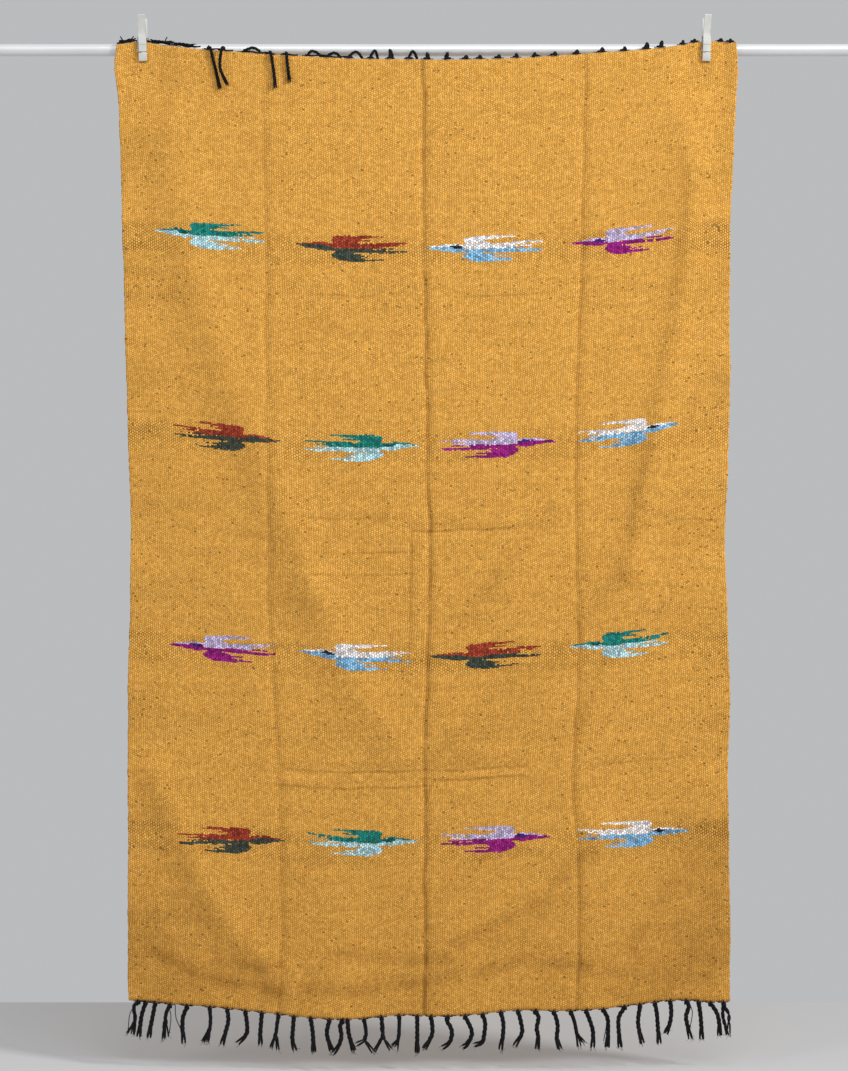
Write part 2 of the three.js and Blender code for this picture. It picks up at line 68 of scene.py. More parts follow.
# down, then x of the left edge, the three long storage creases and the right edge
RUN = np.array([
    (0.000, -635, -331, -4, 329, 637), (0.025, -639, -331, -4, 329, 640),
    (0.053, -632, -331, -4, 328, 637), (0.106, -627, -330, -4, 325, 631),
    (0.215, -621, -328, -2, 320, 623), (0.372, -613, -324, 3, 309, 623),
    (0.465, -607, -322, 6, 308, 617), (0.507, -605, -321, 8, 309, 613),
    (0.590, -607, -320, 8, 312, 617), (0.676, -611, -310, 1, 312, 623),
    (0.757, -611, -301, -1, 301, 619), (0.838, -611, -297, -1, 313, 621),
    (0.924, -613, -294, -2, 314, 625), (0.966, -615, -296, -2, 311, 625),
    (1.000, -613, -305, -2, 310, 626)], float)
# across, height of the top edge, height of the bottom edge
EDGES = np.array([
    (0.000, 8, -1958), (0.020, 12, -1959), (0.040, 15, -1961), (0.070, 9, -1963),
    (0.135, -2, -1967), (0.200, -8, -1975), (0.265, -14, -1983), (0.330, -18.5, -1989),
    (0.390, -22, -1990), (0.455, -23, -1984), (0.520, -24, -1984), (0.585, -23, -1980),
    (0.650, -20, -1974), (0.715, -15, -1974), (0.780, -9, -1970), (0.840, -4, -1964),
    (0.900, 5, -1957), (0.935, 14, -1956), (0.965, 15, -1959), (1.000, 11, -1958)], float)
# rise, spread, line of x, z
FOLDS = [
    (10, 32, [(548, -120), (535, -414), (500, -640), (463, -804), (415, -1070)]),
    (8, 36, [(415, -1070), (290, -1234), (190, -1330), (100, -1430)]),
    (9, 48, [(-535, -148), (-470, -517), (-415, -681), (-320, -886), (-235, -1111)]),
    (7, 45, [(-235, -1111), (-150, -1316), (-60, -1439)]),
    (9, 34, [(-562, -1480), (-515, -1604), (-460, -1716), (-385, -1829), (-300, -1905)]),
    (8, 36, [(575, -1500), (520, -1640), (450, -1780), (395, -1870)]),
    (7, 30, [(365, -1600), (280, -1700), (175, -1775), (45, -1830)]),
    (5, 26, [(262, -930), (215, -1000), (160, -1070)]),
]
CREASE_DEPTH, CREASE_SPREAD = 3, 9
# down, from, to, depth
CROSS_CREASES = [(0.250, 0.30, 0.42, 1.5), (0.250, 0.54, 0.69, 1.5),
                 (0.492, 0.47, 0.71, 2.0), (0.743, 0.25, 0.67, 2.0)]
CROSS_SPREAD, CROSS_EASE = 9, 0.03
# x, z, reach, back
CORNERS = [(-613, -1958, 340, 30), (626, -1958, 330, 26)]
BELLY = 22
SIDE_RISE, SIDE_LENGTH, SIDE_REACH, SIDE_FROM, SIDE_FULL = 5, 230, 55, 0.03, 0.12
HEM_RISE, HEM_LENGTH, HEM_REACH = 7, 270, 170
STANDOFF, GRIP_WIDTH, PEG_REACH_X, PEG_REACH_Z, TUCK_BEHIND = 10, 32, 26, 110, 8.5
SETTLED = 0.09


def bell(distance, spread):
    return np.exp(-(distance / spread) ** 2)


def smoothstep(value, low, high):
    t = np.clip((value - low) / (high - low), 0, 1)
    return t * t * (3 - 2 * t)


def stretch(value, start, end, ease):
    """1 between two places and 0 outside them, eased at both ends."""
    return smoothstep(value, start - ease, start + ease) * (1 - smoothstep(value, end - ease, end + ease))


def read(table, column, place):
    """One column of a table at many places, on a smooth curve through its rows."""
    keys, values = table[:, 0], table[:, column]
    last = len(keys) - 1
    i = np.clip(np.searchsorted(keys[1:], place, side="left"), 0, last - 1)
    before, after = np.maximum(i - 1, 0), np.minimum(i + 2, last)
    gap = keys[i + 1] - keys[i]
    slope_a = (values[i + 1] - values[before]) / (keys[i + 1] - keys[before])
    slope_b = (values[after] - values[i]) / (keys[after] - keys[i])
    t = np.clip((place - keys[i]) / gap, 0, 1)
    ease = t * t * (3 - 2 * t)
    bend = slope_a * gap * t * (1 - t) ** 2 - slope_b * gap * t * t * (1 - t)
    return values[i] * (1 - ease) + values[i + 1] * ease + bend


def along_line(line, x, z):
    """Distance of points from a line of points in the cloth's plane."""
    best = np.full(np.shape(x), 1e9)
    for (ax, az), (bx, bz) in zip(line, line[1:]):
        dx, dz = bx - ax, bz - az
        t = np.clip(((x - ax) * dx + (z - az) * dz) / (dx * dx + dz * dz), 0, 1)
        best = np.minimum(best, np.hypot(x - ax - t * dx, z - az - t * dz))
    return best


def relief(x, z, across, down):
    """How far the cloth stands forward of its hanging plane, as in the solid."""
    lines = [read(RUN, k, down) for k in range(1, 6)]
    forward = BELLY * np.sin(np.pi * across) * np.sin(np.pi * down) ** 2
    for rise, spread, line in FOLDS:
        forward = forward + rise * bell(along_line(line, x, z), spread)
    for line in lines[1:-1]:
        forward -= CREASE_DEPTH * bell(x - line, CREASE_SPREAD)
    top, bottom = read(EDGES, 1, across), read(EDGES, 2, across)
    for place, start, end, depth in CROSS_CREASES:
        reach = stretch(across, start, end, CROSS_EASE)
        forward -= depth * reach * bell((down - place) * (top - bottom), CROSS_SPREAD)
    for cx, cz, reach, back in CORNERS:
        forward -= back * (1 - smoothstep(np.hypot(x - cx, z - cz), 0, reach))
    side = np.minimum(x - lines[0], lines[4] - x)
    ripple = np.sin(2 * np.pi * z / SIDE_LENGTH + np.sign(x))
    forward += smoothstep(down, SIDE_FROM, SIDE_FULL) * SIDE_RISE * np.exp(-side / SIDE_REACH) * ripple
    forward += HEM_RISE * np.exp(-(z - bottom) / HEM_REACH) * np.sin(2 * np.pi * x / HEM_LENGTH)
    forward += fine_relief(x, z)
    grip = 0
    for place in PEG_PLACES.values():
        beside = np.maximum(0, np.abs(x - place) - GRIP_WIDTH)
        below = np.maximum(0, PEG_TIP - z)
        grip = np.maximum(grip, bell(beside, PEG_REACH_X) * bell(below, PEG_REACH_Z))
    return (1 - grip) * (STANDOFF + smoothstep(down, 0, SETTLED) * forward)


# Wrinkles with painted shade along them: depth and spread of the trough, depth and spread of the painted
# shade, line of x, z
WRINKLES = [
    (0.9, 6, 0.10, 9, [(430, -940), (605, -1010)]), (0.9, 6, 0.10, 9, [(440, -1156), (610, -1195)]),
    (1.3, 22, 0.07, 30, [(-566, -1521), (-515, -1644), (-443, -1788), (-340, -1900)]),
    (3.6, 16, 0.14, 22, [(562, -1603), (500, -1726), (418, -1849)]),
    (2.6, 12, 0.20, 16, [(336, -1644), (213, -1767), (49, -1839)]),
    (2.2, 10, 0.14, 14, [(254, -947), (152, -1070), (60, -1190)]),
    (2.0, 10, 0.14, 14, [(357, -1255), (305, -1419)]),
    (1.6, 10, 0.12, 14, [(180, -1275), (70, -1400), (20, -1450)]),
    (1.5, 9, 0.12, 13, [(120, -1660), (20, -1745)]),
    (2.4, 12, 0.30, 14, [(-560, -1858), (-470, -1905), (-380, -1925), (-310, -1938)]),
    (2.2, 12, 0.30, 13, [(-250, -1928), (-150, -1938), (-30, -1922), (60, -1900)]),
    (2.0, 12, 0.26, 14, [(90, -1905), (200, -1872), (330, -1882)]),
]
# Narrow troughs beside and between the main folds: depth, spread, line of x, z
FINE_CREASES = [(depth, spread, line) for depth, spread, _, _, line in WRINKLES] + [
    (1.8, 6, [(-31, -988), (-30, -1110), (-31, -1234)]),
    (1.2, 6, [(-31, -985), (250, -992)]), (1.2, 6, [(-300, -1511), (205, -1503)]),
    (1.3, 6, [(-300, -1476), (205, -1474)]), (1.0, 6, [(360, -1464), (610, -1468)]),
    (2.8, 14, [(527, -260), (514, -414), (477, -640), (442, -804), (404, -990)]),
    (1.4, 18, [(404, -990), (380, -1090), (330, -1165), (262, -1226), (98, -1411)]),
    (1.0, 20, [(-484, -517), (-432, -681), (-340, -886), (-258, -1111), (-176, -1316), (-74, -1439)]),
]
# Painted shade along the hanging folds and into the lower corners: depth of colour, spread, line of x, z
SHADE_LINES = [(depth, spread, line) for _, _, depth, spread, line in WRINKLES] + [
    (0.09, 17, [(541, -260), (527, -414), (490, -640), (455, -804), (408, -1070)]),
    (0.11, 22, [(455, -804), (408, -1070), (340, -1160), (275, -1234), (111, -1419)]),
    (0.06, 34, [(-500, -470), (-440, -681), (-345, -886), (-262, -1111), (-180, -1316), (-78, -1439)]),
    (0.12, 80, [(-613, -1780), (-570, -1890), (-470, -1965)]),
    (0.20, 85, [(626, -1600), (600, -1780), (540, -1880), (430, -1965)]),
    (0.22, 12, [(-430, -1868), (-370, -1882), (-300, -1880)]),
    (0.20, 12, [(-180, -1850), (-60, -1875), (40, -1868)]),
    (0.12, 10, [(-420, -985), (-300, -1010), (-180, -1000)]), (0.10, 10, [(-300, -870), (-120, -895)]),
    (0.10, 10, [(-250, -560), (-110, -585)]), (0.10, 10, [(60, -585), (190, -570)]),
    (0.10, 9, [(60, -1085), (170, -1130)]),
]
# Painted shade that darkens the cloth towards its foot: depth, where it starts and where it is full
FOOT_SHADE, FOOT_SHADE_FROM, FOOT_SHADE_FULL = 0.13, -1500, -1990
# Faint waves all over the cloth: rise, direction in radians, length, shift
WAVES = [(0.8, 0.3, 190, 0.4), (0.6, 1.9, 135, 2.1), (0.4, 1.5, 47, 4.0), (0.25, 1.65, 29, 1.3)]


def tone_drift(x, z):
    """How much painted shade darkens the cloth, from 0 to 1: along its hanging folds and towards its foot."""
    shade = FOOT_SHADE * smoothstep(z, FOOT_SHADE_FROM, FOOT_SHADE_FULL)
    for depth, spread, line in SHADE_LINES:
        shade = shade + depth * bell(along_line(line, x, z), spread)
    return shade


def fine_relief(x, z):
    """Small unevenness that the solid leaves out."""
    forward = 0
    for depth, spread, line in FINE_CREASES:
        forward = forward - depth * bell(along_line(line, x, z), spread)
    for size, turn, long, shift in WAVES:
        place = (x * math.cos(turn) + z * math.sin(turn)) / long
        forward = forward + size * np.sin(2 * np.pi * place + shift)
    return forward


def cloth_at(across, down):
    """Middle of the cloth's thickness, by place across and down the sheet."""
    across, down = np.broadcast_arrays(np.asarray(across, float), np.asarray(down, float))
    lines = np.stack([read(RUN, k, down) for k in range(1, 6)])
    section = np.minimum((across * 4).astype(int), 3)
    left = np.take_along_axis(lines, section[None], 0)[0]
    right = np.take_along_axis(lines, section[None] + 1, 0)[0]
    x = left + (right - left) * (across * 4 - section)
    top = read(EDGES, 1, across)
    z = top + (read(EDGES, 2, across) - top) * down
    return np.stack([x, HANG_Y - relief(x, z, across, down), z], -1)


def across_at(x, down):
    """Place across the sheet of a point at a given x."""
    lines = [float(read(RUN, k, np.array(down, float))) for k in range(1, 6)]
    return float(np.interp(x, lines, [0, 0.25, 0.5, 0.75, 1]))


def edge_at(x, down):
    return cloth_at(across_at(x, down), down)


def cloth_beside(x, z):
    """The cloth's middle surface behind or in front of a point near the top edge."""
    across = across_at(x, 0)
    top, bottom = (float(read(EDGES, k, np.array(across))) for k in (1, 2))
    return float(cloth_at(across, min(max((z - top) / (bottom - top), 0), 1))[1])


# Materials

def linear(colour):
    """An sRGB hex colour as linear red, green, blue, alpha."""
    parts = [((colour >> shift) & 255) / 255 for shift in (16, 8, 0)]
    return [p / 12.92 if p <= 0.04045 else ((p + 0.055) / 1.055) ** 2.4 for p in parts] + [1.0]


class Field:
    """A shader value that can be written into ordinary formulas."""

    def __init__(self, net, socket):
        self.net, self.socket = net, socket

    def __add__(self, other):
        return self.net.math("ADD", self, other)

    def __sub__(self, other):
        return self.net.math("SUBTRACT", self, other)

    def __rsub__(self, other):
        return self.net.math("SUBTRACT", other, self)

    def __mul__(self, other):
        return self.net.math("MULTIPLY", self, other)

    def __truediv__(self, other):
        return self.net.math("DIVIDE", self, other)

    def __gt__(self, other):
        return self.net.math("GREATER_THAN", self, other)

    def __lt__(self, other):
        return self.net.math("LESS_THAN", self, other)

    __radd__, __rmul__ = __add__, __mul__


class Net:
    """One material's nodes, built from short formulas."""

    def __init__(self, name, roughness, **constants):
        self.material = bpy.data.materials.new(name)
        self.material.use_nodes = True
        self.tree = self.material.node_tree
        self.shader = self.tree.nodes["Principled BSDF"]
        self.shader.inputs["Roughness"].default_value = roughness
        for socket, value in constants.items():
            self.shader.inputs[socket.replace("_", " ")].default_value = value

    def node(self, kind, **settings):
        made = self.tree.nodes.new(kind)
        for name, value in settings.items():
            setattr(made, name, value)
        return made

    def feed(self, socket, value):
        if isinstance(value, Field):
            self.tree.links.new(value.socket, socket)
        else:
            socket.default_value = value

    def math(self, operation, *values):
        made = self.node("ShaderNodeMath", operation=operation)
        for socket, value in zip(made.inputs, values):
            self.feed(socket, value)
        return Field(self, made.outputs[0])

    def attribute(self, name):
        made = self.node("ShaderNodeAttribute", attribute_name=name)
        split = self.node("ShaderNodeSeparateXYZ")
        self.tree.links.new(made.outputs["Vector"], split.inputs[0])
        return [Field(self, out) for out in split.outputs]

    def position(self):
        made = self.node("ShaderNodeTexCoord")
        split = self.node("ShaderNodeSeparateXYZ")
        self.tree.links.new(made.outputs["Object"], split.inputs[0])
        return [Field(self, out) for out in split.outputs]

    def vector(self, x, y, z=0.0):
        made = self.node("ShaderNodeCombineXYZ")
        for socket, value in zip(made.inputs, (x, y, z)):
            self.feed(socket, value)
        return Field(self, made.outputs[0])

    def total(self, fields):
        fields = list(fields)
        whole = fields[0]
        for field in fields[1:]:
            whole = whole + field
        return whole

    def noise(self, x, y, z=0.0, detail=1.0):
        """Soft noise around 0, roughly between -1 and 1."""
        made = self.node("ShaderNodeTexNoise")
        made.inputs["Scale"].default_value = 1.0
        made.inputs["Detail"].default_value = detail
        self.feed(made.inputs["Vector"], self.vector(x, y, z))
        return Field(self, made.outputs["Fac"]) * 4.0 - 2.0

    def chance(self, x, y, z=0.0):
        """A random number from 0 to 1 for each whole place."""
        made = self.node("ShaderNodeTexWhiteNoise", noise_dimensions="3D")
        self.feed(made.inputs["Vector"], self.vector(x, y, z))
        return Field(self, made.outputs["Value"])

    def mix(self, share, first, second):
        made = self.node("ShaderNodeMix", data_type="RGBA")
        self.feed(made.inputs[0], share)
        self.feed(made.inputs[6], first)
        self.feed(made.inputs[7], second)
        return Field(self, made.outputs[2])

    def scaled(self, colour, factor):
        made = self.node("ShaderNodeVectorMath", operation="SCALE")
        self.feed(made.inputs[0], colour)
        self.feed(made.inputs["Scale"], factor)
        return Field(self, made.outputs[0])

    def smooth(self, value, low, high):
        made = self.node("ShaderNodeMapRange", interpolation_type="SMOOTHSTEP")
        self.feed(made.inputs["Value"], value)
        made.inputs["From Min"].default_value = low
        made.inputs["From Max"].default_value = high
        return Field(self, made.outputs["Result"])

    def stretch(self, value, start, end, ease):
        rising = self.smooth(value, start - ease, start + ease)
        return rising * (1.0 - self.smooth(value, end - ease, end + ease))

    def away(self, value, place):
        return self.math("ABSOLUTE", value - float(place))

    def cloud(self, name, s, t, detail=1.0):
        across, down, seed = CLOUDS[name]
        return self.noise(s * across, t * down, seed, detail)

    def drawn(self, value, points, low, high):
        """A curve drawn through points of place and height, read at a value."""
        made = self.node("ShaderNodeFloatCurve")
        line = made.mapping.curves[0]
        scaled = [(place, (height - low) / (high - low)) for place, height in points]
        line.points[0].location, line.points[1].location = scaled[0], scaled[-1]
        for place, height in scaled[1:-1]:
            line.points.new(place, height)
        for point in line.points:
            point.handle_type = "VECTOR"
        made.mapping.update()
        self.feed(made.inputs["Value"], value)
        return Field(self, made.outputs[0]) * (high - low) + low

    def colour(self, value):
        self.feed(self.shader.inputs["Base Color"], value)

    def bump(self, height, distance, strength=1.0):
        made = self.node("ShaderNodeBump")
        made.inputs["Strength"].default_value = strength
        made.inputs["Distance"].default_value = distance
        self.feed(made.inputs["Height"], height)
        self.tree.links.new(made.outputs["Normal"], self.shader.inputs["Normal"])


# The weave: mm between warps, mm between picks in the plain ground and in the bird rows
WARP_PITCH, GROUND_PICK, ROW_PICK = 4.65, 2.1, 2.85
CLOTH_WIDE, CLOTH_LONG = 1250, 1970
ROW_PLACES, ROW_HALF = (398, 801, 1236, 1624), 31
# Bands where a looser beat lets more of the warp show: place, half height, amount
LOOSE_BANDS = [(500, 45, 0.35), (930, 40, 0.35), (1140, 40, 0.3), (1370, 40, 0.3)]
# The third colour is the gold that painted shade and rubbing darken the cloth toward
GOLD_DEEP, GOLD_PALE, SHADED_RUBBED_GOLD, WARP_BLACK = 0xDEA044, 0xF0B458, 0x84511A, 0x17130F
# Old fold lines along the warp, darker by painted shade of their valleys and by rubbing: place across, from,
# to, half width, depth of colour
LONG_MARKS = [(312.5, -40, 2010, 6.5, 0.2), (625, -40, 2010, 7.0, 0.5), (937.5, -40, 2010, 6.5, 0.34),
              (588, 975, 1250, 5.0, 0.34)]
# Old fold lines along the weft, darker by painted shade of their valleys and by rubbing: place down, from,
# to, half width, depth of colour
CROSS_MARKS = [(488, 395, 520, 4.5, 0.26), (490, 684, 868, 4.5, 0.24), (971, 586, 800, 5.0, 0.42),
               (1464, 316, 836, 4.5, 0.34), (1497, 314, 640, 4.5, 0.36), (1483, 630, 840, 4.5, 0.4),
               (1015, 400, 590, 4.0, 0.3), (1060, 390, 585, 4.0, 0.26), (945, 380, 560, 4.0, 0.26),
               (980, 1070, 1240, 4.0, 0.24), (1466, 990, 1240, 4.5, 0.26)]

# Birds: kind, then the beak's place across and down, length, and fall of the tail.
# A length below zero faces right.
KINDS = ("teal", "rust", "white", "lavender")
UPPER = {"teal": 0x1F7F74, "rust": 0x9E3F2B, "white": 0xF0EAE8, "lavender": 0xC6B7D8}
LOWER = {"teal": 0xB4DAE0, "rust": 0x414A40, "white": 0x86B9DC, "lavender": 0x97217A}
EYES = {"teal": 0x145A55, "rust": 0x414A40, "white": 0x20242A, "lavender": 0x4A2A78}
BIRDS = [
    ("teal", 71, 384, 238, -8), ("rust", 372, 386, 218, 3), ("white", 627, 388, 231, 2),
    ("lavender", 915, 390, 215, -4),
    ("rust", 337, 792, -234, -4), ("teal", 609, 796, -223, 0), ("lavender", 892, 795, -240, -1),
    ("white", 1147, 780, -205, 10),
    ("lavender", 89, 1229, 232, -8), ("white", 367, 1218, 223, 12), ("rust", 628, 1229, 231, -4),
    ("teal", 918, 1219, 206, 0),
    ("rust", 322, 1611, -218, 14), ("teal", 609, 1610, -237, -9), ("lavender", 882, 1609, -225, -3),
    ("white", 1166, 1617, -227, -11),
]
BIRD_LONG = 228.0
BIRD_LOW, BIRD_HIGH = -36.0, 30.0
# Feathers as charted: yarn, then place along the bird, lower edge, upper edge.
# The comb is upper yarn too, on the first two kinds only.
CHART = [
    ("lower", [(0.0, -1.6, 0.9), (0.05, -3.2, 1.2), (0.16, -7.0, 2.0), (0.25, -10.4, 3.0),
               (0.305, -9.5, -0.6), (0.33, -8.4, -2.2), (0.37, -11.2, -4.2), (0.50, -11.6, -3.4),
               (0.60, -11.8, -4.2), (0.72, -12.2, -6.0), (0.87, -12.8, -7.2), (1.0, -10.4, -7.2)]),
    ("lower", [(0.54, -7.0, -2.8), (0.66, -5.2, -2.2), (0.80, -4.8, -2.2), (0.927, -4.2, -2.9)]),
    ("lower", [(0.32, -20.5, -16.5), (0.34, -23.0, -12.5), (0.37, -26.8, -9.0), (0.43, -30.0, -9.0),
               (0.50, -30.6, -19.0), (0.60, -30.3, -23.6), (0.70, -28.6, -24.6), (0.79, -26.8, -25.0)]),
    ("lower", [(0.36, -22.0, -9.0), (0.46, -24.0, -12.0), (0.54, -22.0, -16.4), (0.62, -21.0, -18.2),
               (0.70, -20.6, -19.0)]),
    ("lower", [(0.36, -18.0, -9.0), (0.44, -18.6, -10.6), (0.51, -17.0, -12.6), (0.58, -16.0, -14.0)]),
    ("upper", [(0.045, 0.6, 2.4), (0.16, 2.0, 6.2), (0.25, 3.0, 7.6), (0.305, -0.6, 5.8), (0.33, -2.2, 5.0),
               (0.37, -4.2, 7.0), (0.55, -2.8, 7.6), (0.64, 0.2, 7.8), (0.75, 3.0, 8.6), (0.86, 5.0, 9.8),
               (1.0, 7.0, 10.2)]),
    ("upper", [(0.55, -2.8, 2.6), (0.66, -1.4, 2.6), (0.80, 0.0, 3.0), (0.915, 1.6, 3.8)]),
    ("upper", [(0.60, -2.6, -0.4), (0.72, -2.3, -0.6), (0.80, -1.9, -0.4)]),
    ("upper", [(0.325, 12.0, 16.5), (0.345, 9.0, 20.4), (0.37, 7.0, 22.0), (0.44, 8.0, 22.6),
               (0.50, 14.0, 22.8), (0.60, 17.0, 23.2), (0.70, 19.2, 22.8), (0.79, 20.4, 22.2)]),
    ("comb", [(0.335, 6.0, 17.0), (0.42, 7.0, 18.0), (0.50, 10.6, 17.2), (0.58, 12.4, 16.0),
              (0.68, 13.4, 15.2)]),
    ("upper", [(0.335, 3.0, 14.0), (0.42, 4.6, 14.0), (0.48, 6.2, 12.0), (0.55, 7.6, 9.6)]),
    ("eye", [(0.205, 1.0, 2.4), (0.24, -1.8, 4.4), (0.285, -2.6, 4.2), (0.325, 0.0, 1.4)]),
]


# Soft noises over the cloth: waves a mm across, waves a mm down, seed
CLOUDS = {
    "pick_drift": (0.05, 0.035, 14.0), "warp_drift": (0.035, 0.05, 12.0), "patch": (0.006, 0.022, 17.0),
    # The last noise makes the painted shade and rubbing along the folds uneven
    "pick_tone": (0.01, 0.12, 2.0), "dark_line": (0.009, 0.21, 23.0), "uneven_darkening": (0.03, 0.02, 31.0),
}
RIB_TONE = (0.7, 0.03, 5.0)
BIRD_DRIFT = (0.03, 0.05, 5.0)
BEAD_SEEDS, FLECK_SEED, SHIFT_SEED = (3.0, 11.0, 29.0), 41.0, 51.0
# How far picks and warps drift, and the shift from one pick to the next in mm
PICK_DRIFT, WARP_DRIFT, ROW_SHIFT = 0.35, 0.9, 2.0
# Looser beat: eases of the bird rows, and where the margin's starts and is full
ROW_EASE_IN, ROW_EASE_OUT, MARGIN_FROM, MARGIN_FULL = 9.0, 7.0, 480.0, 600.0
# Spread of a bird's edges: along it as a share, across it by bead and by noise, and share of tips left out
EDGE_ALONG, EDGE_BEAD, EDGE_DRIFT, TIP_LEFT_OUT = 0.010, 1.3, 0.9, 0.08
# Spread of tone
PICK_TONE, WARP_TONE, BEAD_TONE, BIRD_BEAD_TONE = 0.035, 0.05, 0.28, 0.75
LINE_TONE, BIRD_TONE, MEAN_TONE = 0.08, 0.06, 1.035
# The first is the most that painted shade and rubbing darken the cloth
DARKENED_MOST, MARK_EASE, MARK_SWAY = 0.7, 20.0, 3.0
FLECK_RARITY, FLECK_DEPTH = 0.994, 0.7
BEAD_RISE, BEAD_BUMP = 0.0006, 0.35


def looseness(net, s, t):
    """How loosely the weft is beaten: in the bird rows, and in bands and patches, with margin and patch."""
    loose = net.total(1.0 - net.smooth(net.away(t, place), ROW_HALF - ROW_EASE_IN, ROW_HALF + ROW_EASE_OUT)
                      for place in ROW_PLACES)
    margin = net.smooth(net.away(s, CLOTH_WIDE / 2), MARGIN_FROM, MARGIN_FULL)
    patch = net.cloud("patch", s, t, 2.0)
    shown = net.smooth(patch + margin * 0.5, 0.25, 1.6) * 0.5
    uneven = net.smooth(patch, -0.6, 1.2)
    shown = shown + net.total((1.0 - net.smooth(net.away(t, place), half * 0.3, half * 1.4)) * uneven * amount
                              for place, half, amount in LOOSE_BANDS)
    return loose, shown, margin, patch


def bird_yarn(net, s, t, picks, dice):
    """Where a bird's yarn lies, in steps of one pick and half a warp, and its colour."""
    along, above, code = net.attribute("bird")
    facing, kind = net.math("SIGN", code), net.math("ABSOLUTE", code)
    step = net.math("FRACT", s / (WARP_PITCH / 2))
    bird_along = along + facing * ((0.5 - step) * (WARP_PITCH / 2))
    bird_above = above - (0.5 - net.math("FRACT", picks)) * ROW_PICK
    place = bird_along / BIRD_LONG + (dice[1] - 0.5) * EDGE_ALONG
    drift = net.noise(s * BIRD_DRIFT[0], t * BIRD_DRIFT[1], kind * BIRD_DRIFT[2])
    height = bird_above + (dice[0] - 0.5) * EDGE_BEAD + drift * EDGE_DRIFT
    masks = {}
    for yarn, rows in CHART:
        low = net.drawn(place, [(row[0], row[1]) for row in rows], BIRD_LOW, BIRD_HIGH)
        high = net.drawn(place, [(row[0], row[2]) for row in rows], BIRD_LOW, BIRD_HIGH)
        inside = (height > low) * (height < high) * (place > rows[0][0]) * (place < rows[-1][0])
        masks[yarn] = net.math("MAXIMUM", masks[yarn], inside) if yarn in masks else inside
    masks["upper"] = net.math("MAXIMUM", masks["upper"], masks["comb"] * (kind < 2.5))
    # Toward the feather tips some floats stay ground yarn
    kept = (dice[2] > net.smooth(place, 0.6, 1.0) * TIP_LEFT_OUT) * (kind > 0.5)
    upper, lower, eye = (linear(table[KINDS[0]]) for table in (UPPER, LOWER, EYES))
    for index, name in enumerate(KINDS[1:], 2):
        chosen = net.math("COMPARE", kind, float(index), 0.5)
        upper, lower, eye = (net.mix(chosen, old, linear(table[name]))
                             for old, table in zip((upper, lower, eye), (UPPER, LOWER, EYES)))
    eyeless = net.math("COMPARE", kind, KINDS.index("rust") + 1.0, 0.5)
    motif = net.math("MAXIMUM", masks["upper"], masks["lower"]) * kept
    colour = net.mix(masks["upper"], lower, upper)
    return motif, net.mix(masks["eye"] * (1.0 - eyeless), colour, eye)


def painted_shade_and_rubbing(net, s, t):
    """Old fold lines are darker by painted shade of their valleys and by rubbing, and the folds in which the
    cloth hangs carry painted shade.
    """
    sway = net.noise(t * 0.012, 3.0, s * 0.002) * MARK_SWAY
    dip = net.noise(s * 0.015, 9.0, t * 0.002) * MARK_SWAY
    marks = [(s + sway, t) + mark for mark in LONG_MARKS] + [(t + dip, s) + mark for mark in CROSS_MARKS]
    shaded_and_rubbed = net.attribute("tone_drift")[0]
    for beside, along_it, middle, start, end, half, depth in marks:
        reach = net.stretch(along_it, start, end, MARK_EASE)
        shaded_and_rubbed = (1.0 - net.smooth(net.away(beside, middle), half * 0.2, half)) * reach * depth + shaded_and_rubbed
    return net.math("MINIMUM", shaded_and_rubbed * (net.cloud("uneven_darkening", s, t) * 0.35 + 0.85), DARKENED_MOST)


